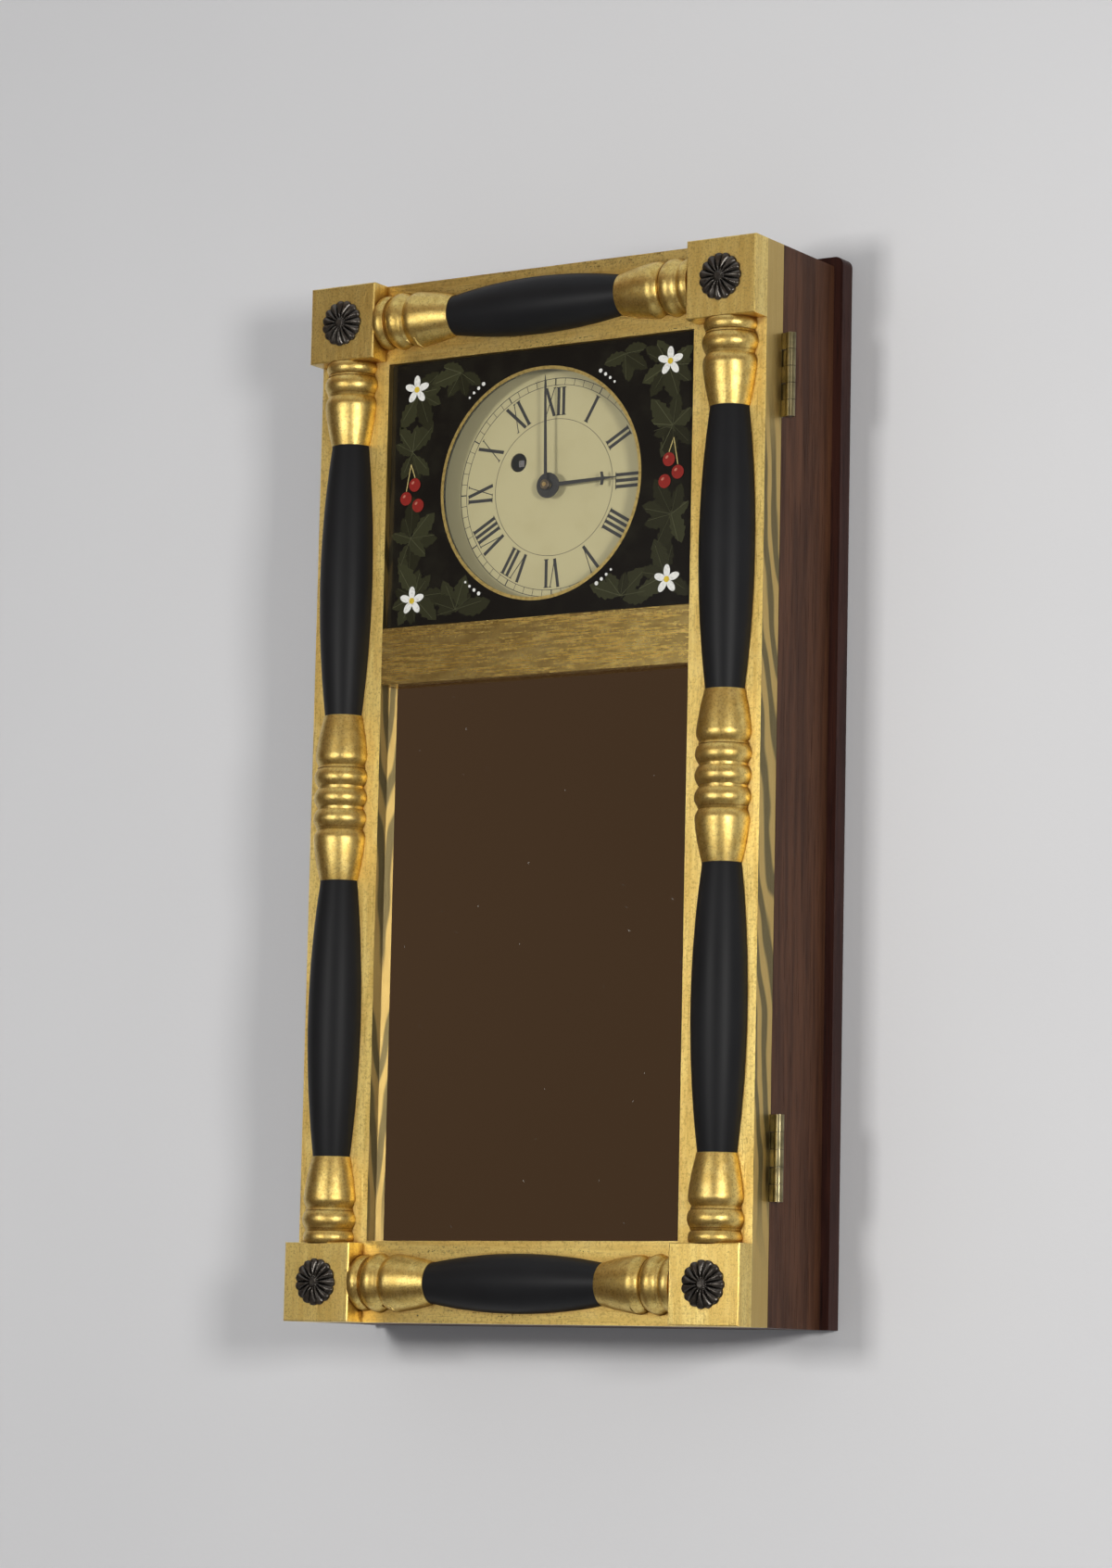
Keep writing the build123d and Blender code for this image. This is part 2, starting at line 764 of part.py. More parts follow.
# Crutch, with the pallet arbor it is riveted to and a fork round the pendulum rod
crutch_back = lug_back + lug_thickness + end_shake
crutch_thickness = 1.2
fork_inner = rod_radius + 0.35
with BuildPart() as crutch:
    add(shaft(0, pallet_rise, (lug_back, front_plate_front, pivot_radius),
              (crutch_back, front_plate_back - end_shake, 1.1)))
    with BuildSketch(on_axis(0, pallet_rise, crutch_back)):
        Circle(2.6)
        with Locations((0, -crutch_length / 2)):
            Rectangle(2.4, crutch_length)
        with Locations((0, -crutch_length)):
            Rectangle(2 * fork_inner + 2.4, 2.4)
    extrude(amount=crutch_thickness)
    with BuildSketch(on_axis(0, pallet_rise, pendulum_depth - 2.2)):
        with Locations(*[(side * (fork_inner + 0.6), -crutch_length) for side in (-1, 1)]):
            Rectangle(1.2, 2.4)
    extrude(amount=crutch_back - pendulum_depth + 2.2)
save(crutch, "crutch")

# Pendulum: a spring strip, a steel rod, a lens shaped bob and the nut that carries it
rod_top = pallet_rise - 7
bob_z = pallet_rise - pendulum_length
nut_top = bob_z - bob_radius
rod_low = nut_top - 14
with BuildPart() as suspension_spring:
    add(slab(-spring_thickness / 2, spring_thickness / 2, dial_z + rod_top - 4,
             dial_z + plate_high - shelf_thickness - 0.4, pendulum_depth - spring_width / 2,
             spring_width))
save(suspension_spring, "suspension_spring")

with BuildPart() as pendulum_rod:
    with BuildSketch(Plane(origin=(0, -pendulum_depth, dial_z + rod_low))):
        Circle(rod_radius)
    extrude(amount=rod_top - rod_low)
    with BuildSketch(Plane(origin=(0, -pendulum_depth, dial_z + rod_top - 8))):
        Circle(2.2)
    extrude(amount=8)
    add(slab(-spring_thickness / 2 - rod_clearance, spring_thickness / 2 + rod_clearance,
             dial_z + rod_top - 4 - rod_clearance, dial_z + rod_top + 1,
             pendulum_depth - spring_width, 2 * spring_width), mode=Mode.SUBTRACT)
save(pendulum_rod, "pendulum_rod")

bob_edge = 1.5
with BuildPart() as pendulum_bob:
    with BuildSketch(Plane(origin=(0, 0, dial_z + bob_z), x_dir=(1, 0, 0), z_dir=(0, 0, 1))):
        with BuildLine():
            Polyline(
                (0, -pendulum_depth - bob_thickness / 2),
                (0, -pendulum_depth + bob_thickness / 2),
            )
            TangentArc(
                (0, -pendulum_depth + bob_thickness / 2),
                (bob_radius, -pendulum_depth + bob_edge / 2),
                tangent=(1, 0),
            )
            Line((bob_radius, -pendulum_depth + bob_edge / 2),
                 (bob_radius, -pendulum_depth - bob_edge / 2))
            TangentArc(
                (0, -pendulum_depth - bob_thickness / 2),
                (bob_radius, -pendulum_depth - bob_edge / 2),
                tangent=(1, 0),
            )
        make_face()
    revolve(axis=Axis((0, 0, dial_z + bob_z), (0, 1, 0)))
    with BuildSketch(Plane(origin=(0, -pendulum_depth, dial_z + bob_z - bob_radius - 1))):
        Circle(rod_radius + rod_clearance)
    extrude(amount=2 * bob_radius + 2, mode=Mode.SUBTRACT)
save(pendulum_bob, "pendulum_bob")

with BuildPart() as rating_nut:
    with BuildSketch(Plane(origin=(0, -pendulum_depth, dial_z + nut_top - 5))):
        Circle(5)
        Circle(rod_radius + rod_clearance, mode=Mode.SUBTRACT)
    extrude(amount=5)
save(rating_nut, "rating_nut")

# Motion work in front of the front plate
cannon_leaf = toothed(cannon_leaves, cannon_module, motion_angle, pinion_form, pinion_rise,
                      pinion_drop)
cannon_pipe_radius = 2.3
minute_seat_radius = 2.0
with BuildPart() as cannon_pinion:
    add(pinion(0, 0, cannon_back, 3, cannon_leaf, 0))
    add(shaft(0, 0, (cannon_back, minute_hand_back, cannon_pipe_radius),
              (minute_hand_back, minute_hand_back + 0.6, minute_seat_radius)))
    with BuildSketch(on_axis(0, 0, cannon_back)):
        Circle(arbor_radius + pipe_clearance)
    extrude(amount=minute_hand_back, mode=Mode.SUBTRACT)
save(cannon_pinion, "cannon_pinion")

minute_wheel_back = cannon_back + 0.6
minute_tooth = toothed(minute_wheel_teeth, cannon_module,
                       facing(motion_angle, minute_wheel_teeth), wheel_form, wheel_rise,
                       wheel_drop)
minute_leaf = toothed(minute_pinion_leaves, hour_module,
                      facing(motion_angle, minute_pinion_leaves), pinion_form, pinion_rise,
                      pinion_drop)
with BuildPart() as minute_wheel:
    add(wheel(minute_stud_x, minute_stud_z, minute_wheel_back, wheel_thickness, minute_tooth,
              minute_wheel_teeth * cannon_module / 2 - 2.6, 3.2, stud_radius + pivot_clearance,
              1.8))
    add(pinion(minute_stud_x, minute_stud_z, minute_wheel_back + wheel_thickness, 5, minute_leaf,
               stud_radius + pivot_clearance))
save(minute_wheel, "minute_wheel")

hour_wheel_back = cannon_back + 4.2
hour_tooth = toothed(hour_wheel_teeth, hour_module, motion_angle, wheel_form, wheel_rise,
                     wheel_drop)
hour_pipe_radius = 3.3
hour_seat_radius = 2.9
with BuildPart() as hour_wheel:
    add(wheel(0, 0, hour_wheel_back, wheel_thickness, hour_tooth,
              hour_wheel_teeth * hour_module / 2 - 2.6, 4.6, 1.0, 2.0))
    add(shaft(0, 0, (hour_wheel_back, hour_hand_back, hour_pipe_radius),
              (hour_hand_back, hour_hand_back + 1.2, hour_seat_radius)))
    with BuildSketch(on_axis(0, 0, hour_wheel_back)):
        Circle(cannon_pipe_radius + pivot_clearance)
    extrude(amount=hour_hand_back, mode=Mode.SUBTRACT)
save(hour_wheel, "hour_wheel")

# Hands
with BuildPart() as hour_hand:
    with BuildSketch(on_axis(0, 0, hour_hand_back)):
        Circle(hour_boss_radius)
        with BuildLine(Plane.XY.rotated((0, 0, hour_hand_angle))):
            Polyline(
                (0, -hour_hand_width / 2 - 0.4),
                (crossbar_distance, -hour_hand_width / 2),
                (hour_hand_length, 0),
                (crossbar_distance, hour_hand_width / 2),
                (0, hour_hand_width / 2 + 0.4),
                close=True,
            )
        make_face()
        with BuildLine(Plane.XY.rotated((0, 0, hour_hand_angle))):
            Polyline(
                (crossbar_distance - 1.2, -crossbar_length / 2),
                (crossbar_distance + 0.6, -crossbar_length / 2),
                (crossbar_distance + 1.4, 0),
                (crossbar_distance + 0.6, crossbar_length / 2),
                (crossbar_distance - 1.2, crossbar_length / 2),
                (crossbar_distance - 0.4, 0),
                close=True,
            )
        make_face()
        Circle(hour_seat_radius + pipe_clearance, mode=Mode.SUBTRACT)
    extrude(amount=1.0)
save(hour_hand, "hour_hand")

with BuildPart() as minute_hand:
    with BuildSketch(on_axis(0, 0, minute_hand_back)):
        Circle(3.6)
        with BuildLine(Plane.XY.rotated((0, 0, minute_hand_angle))):
            Polyline(
                (0, -minute_hand_width / 2 - 0.3),
                (minute_hand_length * 0.9, -minute_hand_width / 2 + 0.2),
                (minute_hand_length, 0),
                (minute_hand_length * 0.9, minute_hand_width / 2 - 0.2),
                (0, minute_hand_width / 2 + 0.3),
                close=True,
            )
        make_face()
        Circle(minute_seat_radius + pipe_clearance, mode=Mode.SUBTRACT)
    extrude(amount=0.6)
save(minute_hand, "minute_hand")

with BuildPart() as hand_collet:
    with BuildSketch(on_axis(0, 0, minute_hand_back + 0.6)):
        Circle(3.5)
        Circle(arbor_radius + pipe_clearance, mode=Mode.SUBTRACT)
    extrude(amount=1.2)
    chamfer(hand_collet.edges().filter_by(GeomType.CIRCLE).sort_by(SortBy.RADIUS)[-1], 0.4)
save(hand_collet, "hand_collet")

# Weight line: turns on the drum, the run up to and over the pulley, and the fall to the weight
winding_centre_z = dial_z + winding_z
span_x = pulley_x - winding_x
span_z = pulley_z - winding_centre_z
span = hypot(span_x, span_z)
lean = asin((pulley_groove_radius - line_path_radius) / span)
normal_angle = atan2(span_z, span_x) - pi / 2 - lean
normal = (cos(normal_angle), sin(normal_angle))
drum_leave = (winding_x + line_path_radius * normal[0],
              winding_centre_z + line_path_radius * normal[1])
pulley_meet = (pulley_x + pulley_groove_radius * normal[0],
               pulley_z + pulley_groove_radius * normal[1])
wrap_middle_angle = (normal_angle + pi) / 2
wrap_middle = (pulley_x + pulley_groove_radius * cos(wrap_middle_angle),
               pulley_z + pulley_groove_radius * sin(wrap_middle_angle))
with BuildPart() as line_run:
    with BuildLine(front(line_depth)) as line_route:
        Line(drum_leave, pulley_meet)
        ThreePointArc(pulley_meet, wrap_middle, (pulley_x - pulley_groove_radius, pulley_z))
    with BuildSketch(Plane(origin=line_route.line @ 0, z_dir=line_route.line % 0)):
        Circle(line_radius)
    sweep()
save(line_run, "line_run")

weight_low = inner_low + weight_floor_gap
weight_top = weight_low + weight_height
loop_top = weight_top + weight_loop_height
with BuildPart() as line_fall:
    with BuildSketch(Plane(origin=(weight_x, -line_depth, loop_top))):
        Circle(line_radius)
    extrude(amount=pulley_z - loop_top)
save(line_fall, "line_fall")

with BuildPart() as line_windings:
    with BuildLine():
        turns = Helix(
            pitch=line_pitch,
            height=line_pitch * line_turns,
            radius=drum_radius + line_radius,
            center=(winding_x, -line_depth + line_pitch, winding_centre_z),
            direction=(0, 1, 0),
        )
    with BuildSketch(Plane(origin=turns @ 0, z_dir=turns % 0)):
        Circle(line_radius)
    sweep()
save(line_windings, "line_windings")
run_length = sum(edge.length for edge in line_route.line.edges())
print("weight line: run", round(run_length, 1), "fall", round(pulley_z - loop_top, 1))

# Pulley under the case's top board, and the bracket that holds its pin
pulley_pin_radius = 2.0
bracket_thickness = 1.5
bracket_gap = pulley_thickness / 2 + 0.4
with BuildPart() as pulley_bracket:
    with BuildSketch(Plane(origin=(pulley_x, -line_depth, inner_high - bracket_thickness))):
        Rectangle(34, 2 * bracket_gap + 2 * bracket_thickness)
    extrude(amount=bracket_thickness)
    for back in (line_depth - bracket_gap - bracket_thickness, line_depth + bracket_gap):
        with BuildSketch(Plane(origin=(pulley_x, -back, pulley_z), x_dir=(1, 0, 0),
                               z_dir=(0, -1, 0))):
            Circle(5)
            with Locations((0, pulley_drop / 2)):
                Rectangle(10, pulley_drop)
        extrude(amount=bracket_thickness)
    with BuildSketch(Plane(origin=(pulley_x, -line_depth + bracket_gap, pulley_z),
                           x_dir=(1, 0, 0), z_dir=(0, -1, 0))):
        Circle(pulley_pin_radius)
    extrude(amount=2 * bracket_gap)
    with Locations(*bracket_screws):
        add(screw_room.part, mode=Mode.SUBTRACT)
save(pulley_bracket, "pulley_bracket")

with BuildPart() as top_pulley:
    with BuildSketch(Plane(origin=(pulley_x, 0, pulley_z), x_dir=(1, 0, 0), z_dir=(0, 0, 1))):
        with BuildLine():
            Polyline(
                (pulley_pin_radius + pivot_clearance, -line_depth - pulley_thickness / 2),
                (pulley_radius, -line_depth - pulley_thickness / 2),
                (pulley_groove_radius - line_radius - line_clearance, -line_depth - 1.0),
                (pulley_groove_radius - line_radius - line_clearance, -line_depth + 1.0),
                (pulley_radius, -line_depth + pulley_thickness / 2),
                (pulley_pin_radius + pivot_clearance, -line_depth + pulley_thickness / 2),
                close=True,
            )
        make_face()
    revolve(axis=Axis((pulley_x, 0, pulley_z), (0, 1, 0)))
save(top_pulley, "top_pulley")

# Weight, a cast iron cylinder with a wire loop cast into its top
loop_wire_radius = 1.6
with BuildPart() as weight:
    with BuildSketch(Plane(origin=(weight_x, -line_depth, weight_low))):
        Circle(weight_radius)
    extrude(amount=weight_height)
    fillet(weight.edges().filter_by(GeomType.CIRCLE), 3)
    with BuildLine(Plane(origin=(weight_x, -line_depth, weight_top), x_dir=(1, 0, 0),
                         z_dir=(0, -1, 0))) as loop:
        loop_inner = weight_loop_height - loop_wire_radius
        FilletPolyline(
            (-4.5, -3),
            (-4.5, loop_inner),
            (4.5, loop_inner),
            (4.5, -3),
            radius=4.2,
        )
    with BuildSketch(Plane(origin=loop.line @ 0, z_dir=loop.line % 0)):
        Circle(loop_wire_radius)
    sweep()
save(weight, "weight")

# Door stiles and rails, rabbeted from behind for the tablet and the mirror
rabbet_half_width = opening_width / 2 + rabbet_width
tablet_rabbet = slab(-rabbet_half_width, rabbet_half_width, tablet_low - rabbet_width,
                     tablet_high + rabbet_width, door_back, door_thickness - tablet_setback)
mirror_rabbet = slab(-rabbet_half_width, rabbet_half_width, mirror_low - rabbet_width,
                     mirror_high + rabbet_width, door_back, door_thickness - mirror_setback)
opening_right = opening_width / 2

with BuildPart() as door_left_stile:
    add(slab(door_left, -opening_right, bottom, top, door_back, door_thickness))
    add([tablet_rabbet, mirror_rabbet], mode=Mode.SUBTRACT)
    with BuildSketch(Plane(origin=(door_left, -latch_stud_depth, latch_pivot_z),
                           x_dir=(0, 1, 0), z_dir=(-1, 0, 0))):
        Circle(latch_stud_radius + screw_clearance)
    extrude(amount=-8 - screw_clearance, mode=Mode.SUBTRACT)
save(door_left_stile, "door_left_stile")

with BuildPart() as door_right_stile:
    add(slab(opening_right, door_right, bottom, top, door_back, door_thickness))
    add([tablet_rabbet, mirror_rabbet], mode=Mode.SUBTRACT)
    for height in hinge_heights:
        with BuildSketch(front(door_back)):
            with Locations((door_right - hinge_leaf_width / 2, height)):
                Rectangle(hinge_leaf_width, hinge_length)
        extrude(amount=hinge_leaf_thickness, mode=Mode.SUBTRACT)
    with Locations(*door_leaf_screws):
        add(screw_room.part, mode=Mode.SUBTRACT)
save(door_right_stile, "door_right_stile")

for name, low, high in (
    ("door_bottom_rail", bottom, mirror_low),
    ("door_mid_rail", mirror_high, tablet_low),
    ("door_top_rail", tablet_high, top),
):
    with BuildPart() as rail:
        add(slab(-opening_right, opening_right, low, high, door_back, door_thickness))
        add([tablet_rabbet, mirror_rabbet], mode=Mode.SUBTRACT)
    save(rail, name)

# Tablet glass, mirror glass and what holds them in their rabbets
glass_half_width = rabbet_half_width - glazing_clearance
tablet_glass_low = tablet_low - rabbet_width + glazing_clearance
tablet_glass_high = tablet_high + rabbet_width - glazing_clearance
mirror_glass_low = mirror_low - rabbet_width + glazing_clearance
mirror_glass_high = mirror_high + rabbet_width - glazing_clearance
tablet_back = door_front - tablet_setback - tablet_thickness
mirror_back = door_front - mirror_setback - mirror_thickness
backing_back = mirror_back - mirror_backing_thickness

with BuildPart() as tablet_glass:
    add(slab(-glass_half_width, glass_half_width, tablet_glass_low, tablet_glass_high,
             tablet_back, tablet_thickness))
save(tablet_glass, "tablet_glass")

with BuildPart() as mirror_glass:
    add(slab(-glass_half_width, glass_half_width, mirror_glass_low, mirror_glass_high,
             mirror_back, mirror_thickness))
save(mirror_glass, "mirror_glass")

with BuildPart() as mirror_backing_board:
    add(slab(-glass_half_width, glass_half_width, mirror_glass_low, mirror_glass_high,
             backing_back, mirror_backing_thickness))
save(mirror_backing_board, "mirror_backing_board")

with BuildPart() as glazing_beads:
    for low, high, back, rise in (
        (tablet_glass_low, tablet_glass_high, tablet_back, tablet_bead_height),
        (mirror_glass_low, mirror_glass_high, backing_back, mirror_bead_height),
    ):
        with BuildSketch(front(back)):
            with Locations((0, (low + high) / 2)):
                Rectangle(2 * glass_half_width, high - low)
                Rectangle(2 * (glass_half_width - bead_width), high - low - 2 * bead_width,
                          mode=Mode.SUBTRACT)
        extrude(amount=-rise)
save(glazing_beads, "glazing_beads")

# Corner blocks, flush with the frame's outer edges
block_centres = [
    (side * (door_right - block_width / 2), z)
    for side in (-1, 1)
    for z in (bottom + block_height / 2, top - block_height / 2)
]
with BuildPart() as corner_blocks:
    with BuildSketch(front(door_front)):
        with Locations(*block_centres):
            Rectangle(block_width, block_height)
    extrude(amount=block_rise)
    chamfer(corner_blocks.faces().filter_by(Axis.Y).group_by(Axis.Y)[0].edges(), block_edge)
save(corner_blocks, "corner_blocks")

# Rosettes, domed and lobed, one on each block
with BuildPart() as rosette:
    with BuildSketch(Plane.XZ):
        with BuildLine():
            Polyline((0, 0), (rosette_radius, 0), (rosette_radius, rosette_rim))
            ThreePointArc(
                (rosette_radius, rosette_rim),
                (rosette_radius * 0.6, rosette_rise * 0.85),
                (rosette_knob_radius * 1.5, rosette_rise * 0.75),
            )
            Polyline((rosette_knob_radius * 1.5, rosette_rise * 0.75),
                     (rosette_knob_radius, rosette_rise), (0, rosette_rise), (0, 0))
        make_face()
    revolve(axis=Axis.Z)
    with PolarLocations(rosette_radius + 0.5, rosette_lobes):
        Cylinder(1.5, 4 * rosette_rise, mode=Mode.SUBTRACT)
with BuildPart() as rosettes:
    with Locations(*[Plane(origin=(x, -block_front, z), z_dir=(0, -1, 0)) for x, z in
                     block_centres]):
        add(rosette.part)
save(rosettes, "rosettes")


def turning(length, rings):
    """Members of a half turning from one end to the other, as tuples of start, start radius,
    length, middle radius or None, and end radius."""
    end_members = [
        (base_length, fillet_radius, base_radius, fillet_radius - 0.4),
        (fillet_length, groove_radius, None, fillet_radius),
        (ring_length, groove_radius + 0.4, ring_radius, groove_radius + 0.4),
        (fillet_length, fillet_radius, None, groove_radius),
        (vase_shoulder, groove_radius, None, vase_wide_radius),
        (vase_length - vase_shoulder, vase_wide_radius,
         (vase_wide_radius + vase_narrow_radius) / 2 + 0.5, vase_narrow_radius),
    ]
    half = list(end_members)
    if rings:
        middle_members = end_members[:2:-1]
        gap_member = (ring_spacing, groove_radius, None, groove_radius)
        ring_members = [end_members[2], gap_member] * rings
        ring_members.pop()
        flipped = [(run, last, mid, first) for run, first, mid, last in middle_members]
        middle = flipped + ring_members + end_members[3:]
        middle_run = sum(m[0] for m in middle)
        end_run = sum(m[0] for m in end_members)
        spindle_run = (length - 2 * end_run - middle_run) / 2
        spindle = (spindle_run, spindle_end_radius, spindle_radius, spindle_end_radius)
        half += [spindle] + middle + [spindle]
    else:
        end_run = sum(m[0] for m in end_members)
        spindle_run = length - 2 * end_run
        half += [(spindle_run, spindle_end_radius, spindle_radius, spindle_end_radius)]
    half += [(run, last, mid, first) for run, first, mid, last in end_members[::-1]]
    return half


def half_column(plane, spin_axis, length, rings):
    """A split turning: its profile on one side of the axis, spun half a turn."""
    with BuildPart() as column:
        with BuildSketch(plane):
            with BuildLine():
                along = 0.0
                radius = 0.0
                for run, first, mid, last in turning(length, rings):
                    if abs(first - radius) > 1e-6:
                        Line((radius, along), (first, along))
                    if mid is None:
                        Line((first, along), (last, along + run))
                    else:
                        ThreePointArc((first, along), (mid, along + run / 2), (last, along + run))
                    along += run
                    radius = last
                Line((radius, along), (0, along))
                Line((0, along), (0, 0))
            make_face()
        revolve(axis=spin_axis, revolution_arc=180)
    return column.part


column_x = door_right - block_width / 2
column_run = door_height - 2 * block_height
for name, x in (("left_column", -column_x), ("right_column", column_x)):
    foot = (x, -door_front, bottom + block_height)
    with BuildPart() as side_column:
        add(half_column(Plane(origin=foot, x_dir=(1, 0, 0), z_dir=(0, -1, 0)),
                        Axis(foot, (0, 0, -1)), column_run, middle_rings))
    save(side_column, name)

cross_run = door_width - 2 * block_width
for name, z in (("bottom_column", bottom + block_height / 2), ("top_column", top - block_height / 2)):
    foot = (door_left + block_width, -door_front, z)
    with BuildPart() as cross_column:
        add(half_column(Plane(origin=foot, x_dir=(0, 0, 1), z_dir=(0, 1, 0)),
                        Axis(foot, (1, 0, 0)), cross_run, 0))
    save(cross_column, name)

# Hinges. The case leaf has knuckles two and four, the door leaf one, three and five.
knuckle_run = hinge_length / knuckle_count
hinge_x = door_right + hinge_standoff
hinge_depth = case_front + door_gap / 2


def hinge_leaf(height, back, numbers):
    """One leaf with its knuckles, its plate lying from a depth forwards."""
    low = height - hinge_length / 2
    with BuildPart() as leaf:
        add(slab(door_right - hinge_leaf_width, door_right, low, low + hinge_length, back,
                 hinge_leaf_thickness))
        for number in numbers:
            start = low + number * knuckle_run + knuckle_gap / 2
            run = knuckle_run - knuckle_gap
            with BuildSketch(Plane(origin=(hinge_x, -hinge_depth, start))):
                Circle(knuckle_radius)
            extrude(amount=run)
            add(slab(door_right, hinge_x - hinge_pin_radius - 0.6, start, start + run, back,
                     hinge_leaf_thickness))
        with BuildSketch(Plane(origin=(hinge_x, -hinge_depth, low))):
            Circle(hinge_pin_radius + hinge_pin_clearance)
        extrude(amount=hinge_length, mode=Mode.SUBTRACT)
    return leaf.part


case_knuckles = range(1, knuckle_count, 2)
door_knuckles = range(0, knuckle_count, 2)
with BuildPart() as hinge_case_leaves:
    for height in hinge_heights:
        add(hinge_leaf(height, case_front - hinge_leaf_thickness, case_knuckles))
    with Locations(*case_leaf_screws):
        add(screw_room.part, mode=Mode.SUBTRACT)
save(hinge_case_leaves, "hinge_case_leaves")

with BuildPart() as hinge_door_leaves:
    for height in hinge_heights:
        add(hinge_leaf(height, door_back, door_knuckles))
    with Locations(*door_leaf_screws):
        add(screw_room.part, mode=Mode.SUBTRACT)
save(hinge_door_leaves, "hinge_door_leaves")

with BuildPart() as hinge_pins:
    for height in hinge_heights:
        with BuildSketch(Plane(origin=(hinge_x, -hinge_depth, height - hinge_length / 2))):
            Circle(hinge_pin_radius)
        extrude(amount=hinge_length)
save(hinge_pins, "hinge_pins")

with BuildPart() as door_screws:
    with Locations(*door_leaf_screws):
        add(screw.part)
save(door_screws, "door_screws")

# Hook on the case's left side, hanging open at rest, and the stud on the door it swings up to
latch_x = door_left - latch_gap
with BuildPart() as latch_hook:
    with BuildSketch(Plane(origin=(latch_x, -latch_pivot_depth, latch_pivot_z), x_dir=(0, -1, 0),
                           z_dir=(-1, 0, 0))):
        Circle(latch_width / 2 + 1.4)
        with Locations((0, -latch_reach / 2)):
            Rectangle(latch_width - 1.5, latch_reach)
        with Locations((0, -latch_reach)):
            Circle(latch_width / 2 + 1.4)
            Circle(latch_stud_radius + latch_slot_clearance, mode=Mode.SUBTRACT)
        with Locations((-latch_width / 2 - 1, -latch_reach)):
            Rectangle(latch_width + 2, 2 * (latch_stud_radius + latch_slot_clearance),
                      mode=Mode.SUBTRACT)
    extrude(amount=latch_thickness)
    with Locations(*latch_screw):
        add(screw_room.part, mode=Mode.SUBTRACT)
save(latch_hook, "latch_hook")

with BuildPart() as latch_stud:
    stud_plane = Plane(origin=(door_left, -latch_stud_depth, latch_pivot_z), x_dir=(0, 1, 0),
                       z_dir=(-1, 0, 0))
    with BuildSketch(stud_plane):
        Circle(latch_stud_radius)
    extrude(amount=latch_stud_length)
    with BuildSketch(stud_plane):
        Circle(latch_stud_radius)
    extrude(amount=-8)
save(latch_stud, "latch_stud")
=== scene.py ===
import math

import bpy
import numpy as np
from mathutils import Matrix, Vector


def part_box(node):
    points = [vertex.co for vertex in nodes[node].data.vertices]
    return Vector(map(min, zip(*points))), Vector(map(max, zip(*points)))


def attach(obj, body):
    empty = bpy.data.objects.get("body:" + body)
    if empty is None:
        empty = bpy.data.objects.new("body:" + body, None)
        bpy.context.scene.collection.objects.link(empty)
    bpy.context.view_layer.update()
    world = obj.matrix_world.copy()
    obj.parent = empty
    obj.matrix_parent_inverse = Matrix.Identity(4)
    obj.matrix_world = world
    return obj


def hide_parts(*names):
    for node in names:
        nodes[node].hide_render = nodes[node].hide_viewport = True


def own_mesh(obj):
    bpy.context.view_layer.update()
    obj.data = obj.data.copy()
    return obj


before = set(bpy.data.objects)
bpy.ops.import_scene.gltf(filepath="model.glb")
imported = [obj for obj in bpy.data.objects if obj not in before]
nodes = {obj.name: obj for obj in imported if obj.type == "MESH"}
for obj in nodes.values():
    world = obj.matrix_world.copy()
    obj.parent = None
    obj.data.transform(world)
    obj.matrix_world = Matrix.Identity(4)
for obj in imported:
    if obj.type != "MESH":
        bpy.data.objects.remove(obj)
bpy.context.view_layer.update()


# The pale painted wall that the clock hangs on. Seen from behind, it is left open, as a studio
# flat is, and it has a gap behind the back board, so that the back of the clock is lit and seen.
class Value:
    """A node's output that takes part in sums: each operator adds one Math node."""

    def __init__(self, tree, socket):
        self.tree = tree
        self.socket = socket

    def math(self, operation, *others, clamp=False):
        return add_node(self.tree, "Math", {"operation": operation, "use_clamp": clamp},
                        dict(enumerate((self,) + others)))

    def __add__(self, other):
        return self.math("ADD", other)

    def __mul__(self, other):
        return self.math("MULTIPLY", other)

    def __sub__(self, other):
        return self.math("SUBTRACT", other)

    def __rsub__(self, other):
        return (self * -1.0) + other

    def size(self):
        return self.math("ABSOLUTE")

    def rise(self, low, high):
        """0 below low and 1 above high, with a smooth climb between (falling if high < low)."""
        falls = float(low > high)
        return add_node(self.tree, "MapRange", {"interpolation_type": "SMOOTHSTEP"},
                        {"Value": self, "From Min": min(low, high), "From Max": max(low, high),
                         "To Min": falls, "To Max": 1.0 - falls})

    __radd__ = __add__
    __rmul__ = __mul__


def join(tree, item, place):
    """Links a Value to a socket, or sets a number or colour on it."""
    if isinstance(item, Value):
        tree.links.new(item.socket, place)
    elif isinstance(item, tuple) and len(item) == 3 and place.type == "RGBA":
        place.default_value = item + (1.0,)
    else:
        place.default_value = item


def add_node(tree, kind, settings=None, inputs=None, output=0):
    """Adds any node: its settings first, then the values or links of its sockets."""
    made = tree.nodes.new("ShaderNode" + kind)
    for name, value in (settings or {}).items():
        setattr(made, name, value)
    for name, value in (inputs or {}).items():
        join(tree, value, made.inputs[name])
    return Value(tree, made.outputs[output])


